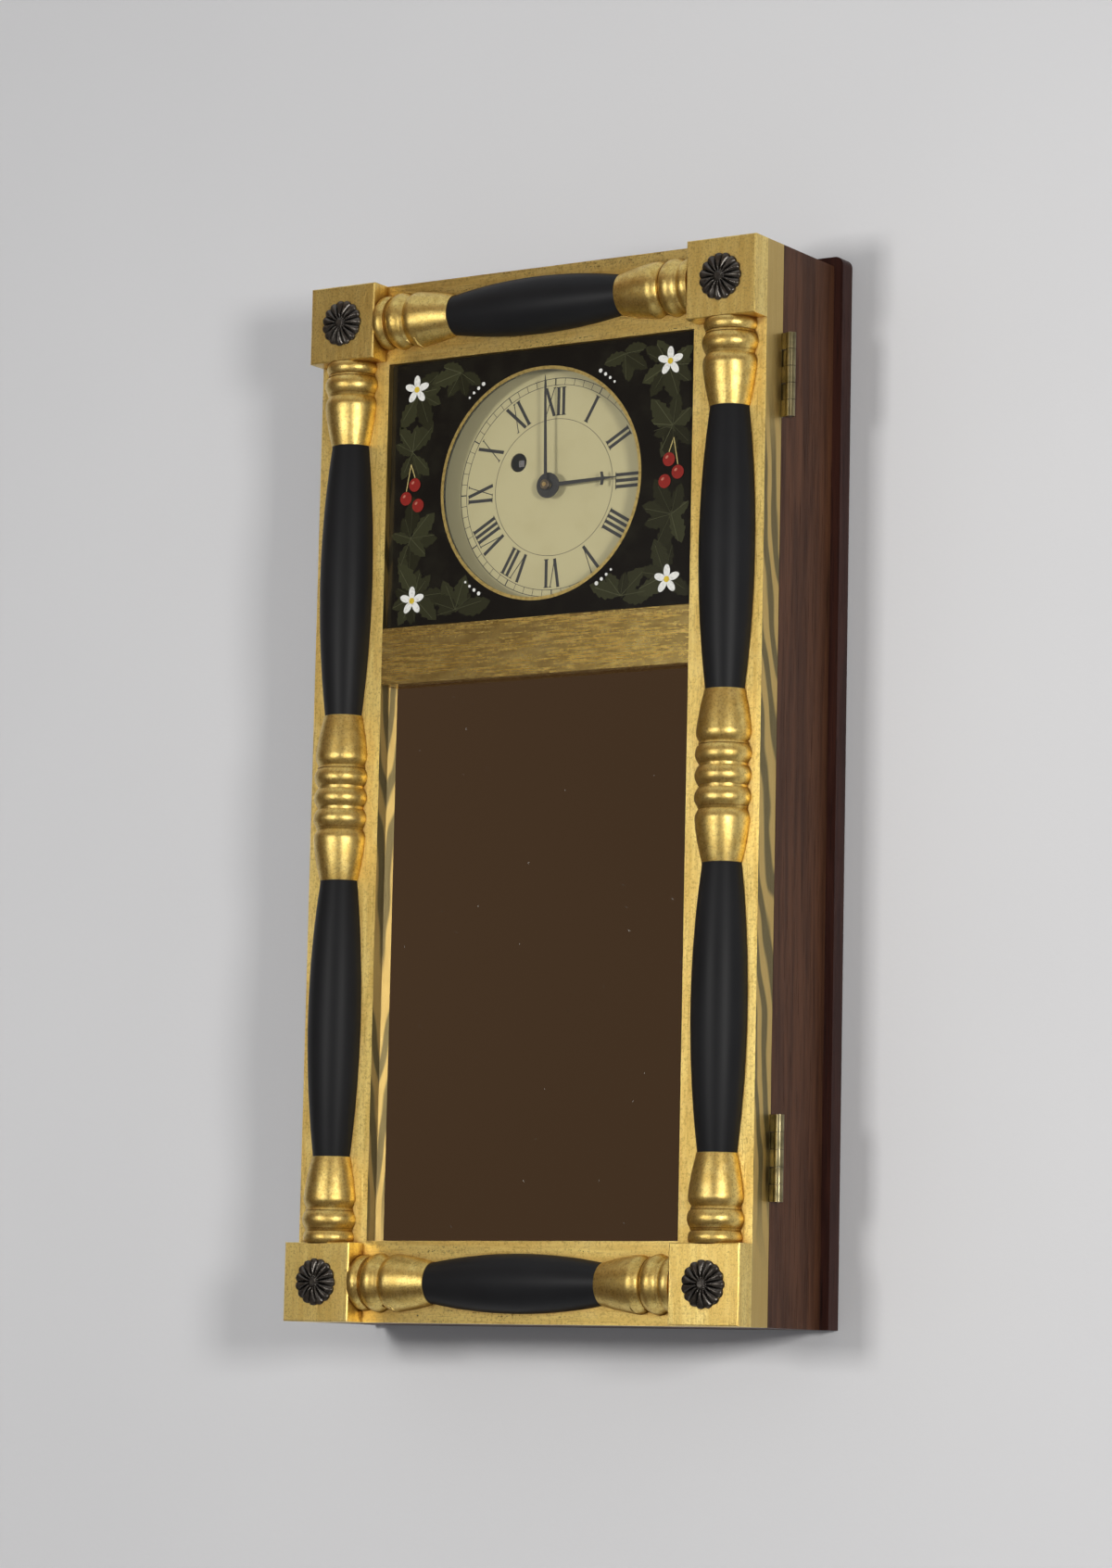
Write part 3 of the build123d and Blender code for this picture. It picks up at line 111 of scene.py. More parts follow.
class Finish:
    """A material in the making, on one Principled shader."""

    def __init__(self, name):
        self.material = bpy.data.materials.new(name)
        self.material.use_nodes = True
        self.tree = self.material.node_tree
        self.shader = self.tree.nodes["Principled BSDF"]
        self.spot = self.node("TexCoord", output="Object")

    def node(self, kind, settings=None, inputs=None, output=0):
        """Adds a node to this material."""
        return add_node(self.tree, kind, settings, inputs, output)

    def axes(self):
        """Object coordinates as three Values."""
        split = self.node("SeparateXYZ", inputs={0: self.spot}).socket.node
        return [Value(self.tree, output) for output in split.outputs]

    def stretched(self, scale):
        """Object coordinates multiplied by three numbers."""
        return self.node("VectorMath", {"operation": "MULTIPLY"}, {0: self.spot, 1: scale})

    def noise(self, scale, detail=3.0, roughness=0.5, distortion=0.0):
        """Noise with its own scale along each axis, in patches per metre."""
        return self.node(
            "TexNoise",
            {"noise_dimensions": "3D"},
            {"Vector": self.stretched(scale), "Scale": 1.0, "Detail": detail,
             "Roughness": roughness, "Distortion": distortion},
        )

    def blend(self, mask, first, second):
        """first where the mask is 0 and second where it is 1, for colours."""
        return self.node("Mix", {"data_type": "RGBA"}, {0: mask, 6: first, 7: second}, 2)

    def relief(self, height, distance, strength=1.0):
        """A bump from a height of 0 to 1 that stands for a distance in metres."""
        bump = self.node("Bump", None, {"Strength": strength, "Distance": distance,
                                        "Height": height})
        join(self.tree, bump, self.shader.inputs["Normal"])

    def surface(self, **values):
        """Sets the Principled shader's sockets, with underscores for spaces."""
        for name, value in values.items():
            join(self.tree, value, self.shader.inputs[name.replace("_", " ")])
        return self.material

    def ends_in(self, value):
        """Makes another shader the material's surface."""
        join(self.tree, value, self.tree.nodes["Material Output"].inputs["Surface"])


def mesh_piece(name, points, faces, material, body=None, smooth=35.0):
    """A mesh object at the origin, smooth except at edges sharper than an angle in degrees."""
    mesh = bpy.data.meshes.new(name)
    mesh.from_pydata(np.asarray(points).tolist(), [], [tuple(face) for face in faces])
    mesh.materials.append(material)
    mesh.polygons.foreach_set("use_smooth", np.ones(len(mesh.polygons), dtype=bool))
    mesh.set_sharp_from_angle(angle=math.radians(smooth))
    mesh.update()
    piece = bpy.data.objects.new(name, mesh)
    bpy.context.scene.collection.objects.link(piece)
    if body:
        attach(piece, body)
    return piece


wall_paint = Finish("wall_paint")
wall_mottle = wall_paint.noise((3, 3, 3), 2.0)
wall_paint.relief(wall_paint.noise((260, 260, 260), 2.0), 0.0002, 0.4)
wall_paint.surface(
    Base_Color=wall_paint.blend(wall_mottle, (0.60, 0.60, 0.612), (0.64, 0.64, 0.65)),
    Roughness=0.9,
    Specular_IOR_Level=0.15,
)
painted = Value(wall_paint.tree, wall_paint.shader.outputs[0])
behind = (wall_paint.node("NewGeometry", output="Backfacing")
          * wall_paint.node("LightPath", output="Is Camera Ray"))
wall_paint.ends_in(wall_paint.node("MixShader", None, {
    0: behind, 1: painted, 2: wall_paint.node("BsdfTransparent")}))
wall_plane = 0.0006
wall_edge, wall_gap = (-3, -2.6, 3, 2.1), (-0.181, -0.686, 0.181, 0.025)
wall_corners = [(x, wall_plane, z) for low_x, low_z, high_x, high_z in (wall_edge, wall_gap)
                for x, z in ((low_x, low_z), (high_x, low_z), (high_x, high_z), (low_x, high_z))]
wall = mesh_piece("wall", wall_corners, [(0, 1, 5, 4), (1, 2, 6, 5), (2, 3, 7, 6), (3, 0, 4, 7)],
                  wall_paint.material)


# The pale floor at the foot of the wall, in the same paint and well below the clock. It is
# see-through from below, as the wall is from behind, and reflections show the dim room instead.
floor_corners = [(x, y, wall_edge[1]) for x, y in ((-6, -7), (6, -7), (6, 6), (-6, 6))]
floor = mesh_piece("floor", floor_corners, [(0, 1, 2, 3)], wall_paint.material)
floor.visible_glossy = False


# The dim brown room that the mirror and the gold leaf show: a half round screen in front of the
# clock that only reflections see, paler towards the ceiling.
room_colour = Finish("dim_room")
room_height = room_colour.axes()[2]
room_patches = room_colour.noise((0.9, 0.9, 0.9), 2.0)
room_low = room_colour.blend(room_patches, (0.060, 0.034, 0.018), (0.080, 0.047, 0.026))
room_high = room_colour.blend(room_patches, (0.240, 0.136, 0.072), (0.320, 0.188, 0.104))
room_glow = room_colour.node("Emission", None, {
    "Color": room_colour.blend(room_height.rise(0.9, 3.6), room_low, room_high),
    "Strength": 1.0,
})
room_colour.ends_in(room_glow)
room_radius, room_foot, room_ceiling, room_steps = 4.4, -9.0, 4.0, 48
room_turn = np.linspace(math.pi, 2 * math.pi, room_steps + 1)
room_points = np.concatenate([
    np.stack([room_radius * np.cos(room_turn), room_radius * np.sin(room_turn),
              np.full(room_steps + 1, height)], axis=1)
    for height in (room_foot, room_ceiling)])
step = np.arange(room_steps)
room_faces = np.stack([step, step + 1, step + room_steps + 2, step + room_steps + 1], axis=1)
room_card = mesh_piece("dim_room_screen", room_points, room_faces, room_colour.material)
for sight in ("camera", "diffuse", "shadow", "transmission"):
    setattr(room_card, "visible_" + sight, False)


# Two soft studio lamps, one in front to the left and one at the right, level with the clock's
# middle. Each stands double, so that matt and glossy surfaces get their own share of its light.
def soft_lamp(name, place, watts, glossy):
    """A square lamp that faces the middle of the clock and lights either only matt surfaces or
    only glossy ones."""
    lamp = bpy.data.lights.new(name, "AREA")
    lamp.energy = watts
    lamp.size = 0.38
    lamp.color = (1.0, 0.985, 0.96)
    holder = bpy.data.objects.new(name, lamp)
    bpy.context.scene.collection.objects.link(holder)
    holder.location = place
    aim = Vector((0.0, -0.05, -0.33)) - Vector(place)
    holder.rotation_euler = aim.to_track_quat("-Z", "Y").to_euler()
    holder.visible_camera = False
    holder.visible_glossy = glossy
    holder.visible_diffuse = not glossy


front_place, right_place = (-0.45, -2.48, -0.32), (2.0, -1.85, -0.33)
soft_lamp("front_lamp", front_place, 26.0, False)
soft_lamp("front_gleam", front_place, 18.0, True)
soft_lamp("right_lamp", right_place, 36.0, False)
soft_lamp("right_gleam", right_place, 26.0, True)


# The studio's air, an even pale light from all round. The camera, metal and glass see it twice as
# bright as it lights, so that the background stays pale.
world = bpy.data.worlds.new("studio_air")
bpy.context.scene.world = world
world.use_nodes = True
air = world.node_tree.nodes["Background"].inputs
air["Color"].default_value = (0.82, 0.83, 0.85, 1.0)
air_light = 0.38
sky_path = add_node(world.node_tree, "LightPath").socket.node
seen, in_metal, through_glass = [
    Value(world.node_tree, sky_path.outputs[name])
    for name in ("Is Camera Ray", "Is Glossy Ray", "Is Transmission Ray")]
seen = seen.math("ADD", in_metal, clamp=True).math("ADD", through_glass, clamp=True)
join(world.node_tree, seen * air_light + air_light, air["Strength"])
bpy.context.scene.view_settings.view_transform = "Standard"


# The camera at the photograph's viewing angle, to the right of the clock and below its middle.
# Its place, turn and lens come from a fit of the door's corners, openings and blocks.
camera_data = bpy.data.cameras.new("camera")
camera_data.sensor_fit = "VERTICAL"
camera_data.sensor_height = 36.0
camera_data.lens = 108.823
camera = bpy.data.objects.new("camera", camera_data)
bpy.context.scene.collection.objects.link(camera)
camera.matrix_world = Matrix((
    (0.84479727, 0.05061233, 0.5326875, 1.70004),
    (0.53466116, -0.11952981, -0.83657042, -2.73877),
    (0.02133126, 0.99153972, -0.1280389, -0.73594),
    (0.0, 0.0, 0.0, 1.0),
))
bpy.context.scene.camera = camera


# Back board and case boards of red-brown mahogany under an old thin varnish. The grain runs
# up the sides and across the top and bottom boards, and the boards are nailed and glued.
def dress(material, *names):
    """Gives CAD nodes a material."""
    for name in names:
        for place in nodes[name].material_slots:
            place.material = material


def varnished(name, grain, light, dark, sheen=0.32):
    """Open-grained hardwood: long soft bands, fine dark pores and a thin satin varnish."""
    wood = Finish(name)
    long_bands = [7.0 if axis == grain else 120.0 for axis in "xyz"]
    pores = [22.0 if axis == grain else 1500.0 for axis in "xyz"]
    bands = wood.noise(tuple(long_bands), 4.0, 0.6, 0.6)
    pore = wood.noise(tuple(pores), 2.0, 0.6)
    pits = pore.rise(0.42, 0.34)
    cloud = wood.noise((9, 9, 9), 2.0)
    colour = wood.blend(bands.rise(0.32, 0.68), dark, light)
    colour = wood.blend(cloud.rise(0.35, 0.75) * 0.35, colour, dark)
    colour = wood.blend(pits * 0.75, colour, tuple(part * 0.45 for part in dark))
    wood.relief(bands * 0.4 - pits * 0.6, 0.00012, 0.7)
    return wood.surface(Base_Color=colour, Roughness=pits * 0.2 + (1.0 - sheen) * 0.65,
                        Specular_IOR_Level=0.16)


case_light = (0.100, 0.041, 0.020)
case_dark = (0.048, 0.019, 0.010)
case_wood = varnished("mahogany_upright", "z", case_light, case_dark)
dress(case_wood, "case_left_side", "case_right_side")
dress(varnished("mahogany_across", "x", case_light, case_dark), "case_top_board",
      "case_bottom_board")
dress(varnished("mahogany_back", "z", (0.056, 0.020, 0.014), (0.028, 0.010, 0.008), 0.4),
      "back_board")


# Hanger, movement plates, wheels and bob of brass, rolled, cut or turned and left bare, and the
# arbors, screws, rods and springs of filed steel that go with them.
def brass_finish(name, bright, dull, lines=(900.0, 900.0, 900.0), roughness=0.28, grime_and_shade=0.0):
    """Brass with tool lines and a tarnish that comes in patches, and in narrow joints grime
    with painted shade, found by occlusion.
    """
    brass = Finish(name)
    patches = brass.noise((60, 60, 60), 4.0, 0.6)
    tool = brass.noise(lines, 2.0)
    brass.relief(tool, 0.00003, 0.5)
    colour = brass.blend(patches.rise(0.38, 0.68), bright, dull)
    if grime_and_shade:
        # Painted shade: narrow joints found by occlusion go nearly black, grime and shade together.
        hollow_shade = brass.node("AmbientOcclusion", {"samples": 4}, {"Distance": 0.0015}, "AO")
        colour = brass.blend(hollow_shade.rise(0.9, 0.45) * grime_and_shade, colour, (0.012, 0.010, 0.007))
    return brass.surface(
        Base_Color=colour,
        Metallic=1.0,
        Roughness=patches.rise(0.3, 0.7) * 0.18 + roughness,
    )


def steel_finish(name, tone, roughness):
    """Filed steel with faint grey patches."""
    steel = Finish(name)
    patches = steel.noise((90, 90, 90), 3.0)
    steel.relief(steel.noise((1500, 200, 1500), 2.0), 0.00002, 0.5)
    dark = tuple(part * 0.6 for part in tone)
    return steel.surface(
        Base_Color=steel.blend(patches.rise(0.35, 0.7), tone, dark),
        Metallic=1.0,
        Roughness=patches * 0.2 + roughness,
    )


plate_brass = brass_finish("plate_brass", (0.60, 0.44, 0.17), (0.42, 0.29, 0.11),
                           (300.0, 300.0, 1800.0))
wheel_brass = brass_finish("wheel_brass", (0.68, 0.50, 0.19), (0.50, 0.35, 0.13))
grey_steel = steel_finish("filed_steel", (0.40, 0.40, 0.41), 0.28)
dress(plate_brass, "wall_hanger", "movement_back_plate", "movement_front_plate",
      "suspension_cock")
dress(wheel_brass, "great_wheel", "winding_drum", "centre_wheel", "third_wheel", "escape_wheel",
      "minute_wheel", "hour_wheel", "top_pulley", "rating_nut", "pendulum_bob")
dress(grey_steel, "movement_pillars", "movement_screws", "case_screws", "door_screws",
      "winding_arbor", "click", "pallets", "crutch", "cannon_pinion", "suspension_spring",
      "pendulum_rod", "pulley_bracket", "hinge_pins")

# Cleats and battens that carry dial and movement, the beads behind the glasses and the mirror's
# backing board, all of bare planed pine. They are hidden in the clock, so the finish is a guess.
pine = varnished("bare_pine", "z", (0.37, 0.255, 0.13), (0.26, 0.16, 0.075), 0.1)
dress(pine, "inner_cleats", "glazing_beads", "mirror_backing_board")


# Weight line of twisted gut, 1.5 mm thick. It is wound on the drum, runs up over the pulley and
# falls to the weight. The fall shortens as the weight is wound up.
def band_quads(rows, sides):
    """Four-cornered faces between neighbouring rows of points, each row a closed round."""
    start = np.arange(rows - 1)[:, None] * sides
    step = np.arange(sides)
    after = (step + 1) % sides
    return np.stack([start + step, start + after, start + sides + after, start + sides + step],
                    axis=-1).reshape(-1, 4)


def tube(name, path, radius, material, body, sides=12):
    """A round tube: at each point of the path a circle across the path's direction."""
    path = np.asarray(path, dtype=float)
    along = np.gradient(path, axis=0)
    along /= np.linalg.norm(along, axis=1)[:, None]
    across = np.cross(along, (0.0, 1.0, 0.0))
    flat = np.linalg.norm(across, axis=1) < 0.2
    across[flat] = np.cross(along[flat], (1.0, 0.0, 0.0))
    across /= np.linalg.norm(across, axis=1)[:, None]
    other = np.cross(along, across)
    turn = np.linspace(0, 2 * np.pi, sides, endpoint=False)
    ring = (across[:, None, :] * np.cos(turn)[None, :, None]
            + other[:, None, :] * np.sin(turn)[None, :, None])
    points = (path[:, None, :] + radius * ring).reshape(-1, 3)
    quads = band_quads(len(path), sides)
    step = np.arange(sides)
    caps = [tuple(step[::-1]), tuple((len(path) - 1) * sides + step)]
    return mesh_piece(name, points, [tuple(quad) for quad in quads] + caps, material, body, 50)


gut = Finish("twisted_gut")
gut_x, gut_y, gut_z = gut.axes()
twist = ((gut_z * 2600.0) + (gut_x * 1900.0) + (gut_y * 2600.0)).math("SINE")
gut.relief(twist, 0.00015, 0.6)
gut.surface(Base_Color=gut.blend(twist.rise(-0.9, 0.9), (0.30, 0.22, 0.12), (0.55, 0.44, 0.27)),
            Roughness=0.55)
line_radius = 0.00075
fall_low, fall_high = [np.array(corner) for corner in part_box("line_fall")]
fall_middle = (fall_low + fall_high) / 2
fall_steps = np.linspace(fall_low[2], fall_high[2], 60)
fall_path = np.stack([np.full(60, fall_middle[0]), np.full(60, fall_middle[1]), fall_steps], axis=1)
line_fall = tube("line_fall_gut", fall_path, line_radius, gut.material, "case")
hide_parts("line_fall")
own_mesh(line_fall)

# The drum turns about the winding hole, which is given from the dial's middle. Its path and the
# pulley's are the radii that the middle of the line follows.
line_depth = 0.043
dial_middle = -0.126
winding_hole = (-0.0287, 0.0193)
drum_middle = np.array((winding_hole[0], dial_middle + winding_hole[1]))
pulley_middle = np.array((-0.1015, -0.0126))
drum_path, pulley_path = 0.00995, 0.011
span = pulley_middle - drum_middle
lean = math.asin((pulley_path - drum_path) / np.hypot(*span))
leave_angle = math.atan2(span[1], span[0]) - math.pi / 2 - lean
outward = np.array((math.cos(leave_angle), math.sin(leave_angle)))
straight = np.linspace(0, 1, 40)[:, None]
run_start = drum_middle + drum_path * outward
run_end = pulley_middle + pulley_path * outward
round_pulley = np.linspace(leave_angle, math.pi, 30)[1:]
run_path = np.concatenate([
    run_start + (run_end - run_start) * straight,
    pulley_middle + pulley_path * np.stack([np.cos(round_pulley), np.sin(round_pulley)], axis=1),
])
run_points = np.stack([run_path[:, 0], np.full(len(run_path), -line_depth), run_path[:, 1]], 1)
line_run = tube("line_run_gut", run_points, line_radius, gut.material, "case")
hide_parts("line_run")
windings, winding_radius, winding_pitch, winding_front = 2, 0.00975, 0.002, 0.041
turn = np.linspace(0, windings * 2 * math.pi, 160)
wound = np.stack([drum_middle[0] + winding_radius * np.cos(turn),
                  -winding_front + winding_pitch * turn / (2 * math.pi),
                  drum_middle[1] + winding_radius * np.sin(turn)], axis=1)
line_windings = tube("line_windings_gut", wound, line_radius, gut.material, "drum")
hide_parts("line_windings")

# Weight, a rough grey iron casting that hangs on the line by a wire loop cast into its top. Its
# skin is pitted, and brown where it has rusted.
iron = Finish("rough_iron")
pitting = iron.noise((700, 700, 700), 4.0, 0.7)
iron.relief(pitting, 0.0004, 0.6)
iron.surface(Base_Color=iron.blend(iron.noise((40, 40, 40)).rise(0.4, 0.7),
                                   (0.075, 0.075, 0.078), (0.13, 0.095, 0.075)),
             Metallic=0.6, Roughness=pitting * 0.2 + 0.45)
dress(iron.material, "weight")

# Dial, a thin iron sheet painted cream and printed in black: numerals, a minute ring between
# two lines and a fine circle inside them.
cream = Finish("dial_cream")
stain = cream.noise((35, 35, 35), 4.0, 0.6)
fleck = cream.noise((900, 900, 900), 2.0)
cream_colour = cream.blend(stain.rise(0.45, 0.75) * 0.5, (0.46, 0.41, 0.215), (0.40, 0.345, 0.17))
cream_colour = cream.blend(fleck.rise(0.70, 0.78) * 0.5, cream_colour, (0.32, 0.26, 0.15))
cream.relief(cream.noise((260, 260, 260)), 0.00004, 0.5)
cream.surface(Base_Color=cream_colour, Roughness=0.42, Specular_IOR_Level=0.4)
dress(cream.material, "dial")


def flat_forms(name, outlines, depth, thickness, material, body, colours=None):
    """Flat forms in front of a surface: each outline, counter-clockwise in x and z from the
    dial's middle, becomes a closed plate from a depth forwards, with one colour each."""
    points, faces, tints = [], [], []
    count = 0
    for number, outline in enumerate(outlines):
        outline = np.asarray(outline, dtype=float)
        corners = len(outline)
        lift = depth if np.isscalar(depth) else depth[number]
        for level in (lift, lift + thickness):
            points.append(np.stack([outline[:, 0], np.full(corners, -level),
                                    outline[:, 1] + dial_middle], axis=1))
        step = np.arange(corners)
        faces.append(tuple(count + corners + step))
        faces.append(tuple(count + step[::-1]))
        faces.extend(count + band_quads(2, corners))
        if colours:
            tints.append(np.tile(np.array(colours[number] + (1.0,)), (corners * 2, 1)))
        count += 2 * corners
    piece = mesh_piece(name, np.concatenate(points), faces, material, body, 30)
    if colours:
        tint = piece.data.attributes.new("tint", "FLOAT_COLOR", "POINT")
        tint.data.foreach_set("color", np.concatenate(tints).ravel())
    return piece


def ring_piece(name, inner, outer, depth, thickness, material, body, turn=None):
    """A flat band round the dial's middle: its inner and outer edge, at the back and at the front,
    make four loops of points. An edge is one radius, or a radius for each angle of turn."""
    if turn is None:
        turn = np.linspace(0, 2 * np.pi, 180, endpoint=False)
    loops = [(inner, depth), (outer, depth), (outer, depth + thickness), (inner, depth + thickness)]
    points = np.concatenate([np.stack([radius * np.cos(turn), np.full(len(turn), -level),
                                       dial_middle + radius * np.sin(turn)], axis=1)
                             for radius, level in loops])
    faces = band_quads(len(loops) + 1, len(turn)) % len(points)
    return mesh_piece(name, points, faces, material, body, 30)


def bar(start, end, width):
    """A straight stroke from one point to another, as four corners."""
    start, end = np.array(start, float), np.array(end, float)
    along = (end - start) / np.linalg.norm(end - start)
    side = np.array((along[1], -along[0])) * width / 2
    return np.array([start + side, end + side, end - side, start - side])


def numeral(text, height, thick, thin):
    """Strokes of a Roman numeral standing on the x axis and centred on it."""
    widths = {"I": thick * 1.75, "V": height * 0.46, "X": height * 0.48}
    place = -sum(widths[letter] for letter in text) / 2
    strokes = []
    serif = thick * 0.42
    for letter in text:
        wide = widths[letter]
        left, middle, right = place + 0.0004, place + wide / 2, place + wide - 0.0004
        if letter == "I":
            strokes.append(bar((middle, 0), (middle, height), thick))
            for level in (thin / 2, height - thin / 2):
                strokes.append(bar((middle - wide * 0.46, level), (middle + wide * 0.46, level), thin))
        if letter == "V":
            strokes.append(bar((left + serif, height), (middle, 0), thick))
            strokes.append(bar((right - serif, height), (middle, 0), thin))
            for side in (left + serif, right - serif):
                strokes.append(bar((side - serif, height - thin / 2),
                                   (side + serif, height - thin / 2), thin))
        if letter == "X":
            strokes.append(bar((left + serif, height), (right - serif, 0), thick))
            strokes.append(bar((right - serif, height), (left + serif, 0), thin))
            for level in (thin / 2, height - thin / 2):
                for side in (left + serif, right - serif):
                    strokes.append(bar((side - serif, level), (side + serif, level), thin))
        place += wide
    return strokes


def turned(points, angle):
    """Points turned clockwise round the dial's middle by an angle in degrees."""
    angle = math.radians(angle)
    spin = np.array(((math.cos(angle), -math.sin(angle)), (math.sin(angle), math.cos(angle))))
    return np.asarray(points) @ spin


black_print = Finish("dial_black")
worn = black_print.noise((500, 500, 500), 3.0)
black_print.surface(Base_Color=black_print.blend(worn.rise(0.62, 0.75), (0.012, 0.011, 0.010),
                                                 (0.05, 0.045, 0.035)),
                    Roughness=0.45)
dial_front = 0.080
print_lift, print_thickness = 0.00001, 0.00006
numeral_foot, numeral_height = 0.0492, 0.0196
numeral_thick, numeral_thin = 0.0023, 0.0006
minute_inner, minute_outer = 0.0706, 0.0748
circles = ((0.0470, 0.00032), (0.0704, 0.00036), (0.0750, 0.00045))
marks = []
for hour, text in enumerate(("XII", "I", "II", "III", "IIII", "V", "VI", "VII", "VIII", "IX", "X",
                             "XI")):
    for stroke in numeral(text, numeral_height, numeral_thick, numeral_thin):
        marks.append(turned(stroke + np.array((0.0, numeral_foot)), hour * 30.0))
for minute in range(60):
    width = 0.0008 if minute % 5 == 0 else 0.00035
    marks.append(turned(bar((0, minute_inner), (0, minute_outer), width), minute * 6.0))
dial_print = flat_forms("dial_printing", marks, dial_front + print_lift, print_thickness,
                        black_print.material, "case")
rings = [ring_piece("dial_circle_%d" % number, radius - width / 2, radius + width / 2,
                    dial_front + print_lift, print_thickness, black_print.material, "case")
         for number, (radius, width) in enumerate(circles)]
for piece in [dial_print] + rings:
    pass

# Hour and minute hand, thin and flat, of black enamelled steel, and the turned brass collet that
# holds the minute hand on its arbor. The collet has gone dark with age.
enamel = Finish("black_enamel")
enamel.relief(enamel.noise((400, 400, 400)), 0.00002, 0.4)
enamel.surface(Base_Color=enamel.blend(enamel.noise((120, 120, 120)), (0.010, 0.010, 0.011),
                                       (0.020, 0.019, 0.018)),
               Roughness=0.36)
dress(enamel.material, "hour_hand", "minute_hand")
dress(brass_finish("collet_brass", (0.22, 0.17, 0.10), (0.07, 0.055, 0.04), roughness=0.35),
      "hand_collet")


# Door frame and corner blocks of wood, gilded with gold leaf over a red-brown ground. The leaf is
# brushed along the grain and rubbed thin. Corners and hollows turn orange-brown, painted shade
# where the ground also shows; pale patches are painted highlights, and the faces that look to
# the right carry a painted dark wavy reflection.
def gilding(name, grain, gloss, depth, side_reflection=False, black=None):
    """Gold leaf with brush lines along the grain and pale patches of painted highlight. Deep places
    turn orange-brown by occlusion, as painted shade, and the leaf stops at the door's inner face,
    which is bare stained wood. Faces that look to the right can get a painted dark wavy reflection.
    gloss is the least roughness and depth how deep the brush lines are.
    black, if given, makes the mask of a part that is black instead, from the three axes."""
    gold = Finish(name)
    x, y, z = gold.axes()
    fine = gold.noise(tuple(55.0 if axis in grain else 950.0 for axis in "xyz"), 4.0, 0.7)
    broad = gold.noise(tuple(14.0 if axis in grain else 170.0 for axis in "xyz"), 3.0, 0.6)
    grit = gold.noise((640, 640, 640), 4.0, 0.75)
    highlight_patches = gold.noise((34, 34, 34), 4.0, 0.62, 0.4)
    hollow_shade = gold.node("AmbientOcclusion", {"samples": 4}, {"Distance": 0.007}, "AO")
    leaf = gold.blend(broad.rise(0.36, 0.66), (0.92, 0.72, 0.25), (0.78, 0.56, 0.165))
    leaf = gold.blend(fine.rise(0.43, 0.33) * 0.6, leaf, (0.42, 0.26, 0.065))
    leaf = gold.blend(grit.rise(0.51, 0.37) * 0.62, leaf, (0.48, 0.31, 0.08))
    # Painted highlight: patches of noise lighten the leaf to a pale gold.
    leaf = gold.blend(highlight_patches.rise(0.52, 0.76) * 0.3, leaf, (0.97, 0.80, 0.36))
    # Painted shade: deep places found by occlusion turn orange-brown, where the red-brown ground also
    # shows.
    leaf = gold.blend(hollow_shade.rise(0.86, 0.30) * 0.8, leaf, (0.30, 0.115, 0.018))
    roughness = broad.rise(0.3, 0.7) * 0.05 + fine.rise(0.62, 0.38) * 0.08 + grit * 0.08 + gloss
    metallic = 0.98
    height = fine * 0.45 + grit * 0.45 + broad * 0.1
    facing = gold.node("SeparateXYZ", inputs={0: gold.node("TexCoord", output="Normal")}).socket.node
    side, inner = [Value(gold.tree, facing.outputs[place]).rise(0.6, 0.9) for place in (0, 1)]
    # Painted reflection: on faces that look to the right, a dark wavy band of gold replaces the leaf,
    # waved in the middle of the height and plain above and below.
    if side_reflection:
        reflection_ripple = gold.noise((20, 20, 9), 2.0, 0.5)
        wave = ((z * 75.0) + (y * 430.0) + (reflection_ripple * 17.0)).math("SINE")
        reflection_band = (z + 0.36).size().rise(0.30, 0.22)
        wave = wave.rise(-0.5, 0.6) * reflection_band + (1.0 - reflection_band) * 0.85
        dull = gold.blend(wave, (0.17, 0.14, 0.07), (0.64, 0.46, 0.165))
        leaf = gold.blend(side * 0.92, leaf, dull)
    if black:
        mask = black(x, y, z)
        rub = gold.noise((25, 25, 25), 3.0)
        satin = gold.blend(rub, (0.008, 0.0085, 0.0095), (0.013, 0.0135, 0.015))
        leaf = gold.blend(mask, leaf, satin)
        metallic = (1.0 - mask) * metallic
        roughness = roughness * (1.0 - mask) + mask * (rub * 0.10 + 0.42)
        height = height * (1.0 - mask * 0.85)
    stained = gold.blend(fine, (0.115, 0.062, 0.028), (0.23, 0.135, 0.062))
    leaf = gold.blend(inner, leaf, stained)
    metallic = (1.0 - inner) * metallic
    roughness = roughness * (1.0 - inner) + inner * 0.6
    gold.relief(height, depth, 0.85)
    return gold.surface(Base_Color=leaf, Metallic=metallic, Roughness=roughness,
                        Specular_IOR_Level=0.17)


upright_gold = gilding("gold_leaf_upright", "z", 0.33, 0.0005, side_reflection=True)
across_gold = gilding("gold_leaf_across", "x", 0.14, 0.00018)
dress(upright_gold, "door_left_stile", "door_right_stile")
dress(across_gold, "door_mid_rail")
dress(gilding("gold_leaf_end_rails", "x", 0.23, 0.0003), "door_top_rail", "door_bottom_rail")
dress(gilding("gold_leaf_blocks", "z", 0.25, 0.0004), "corner_blocks")


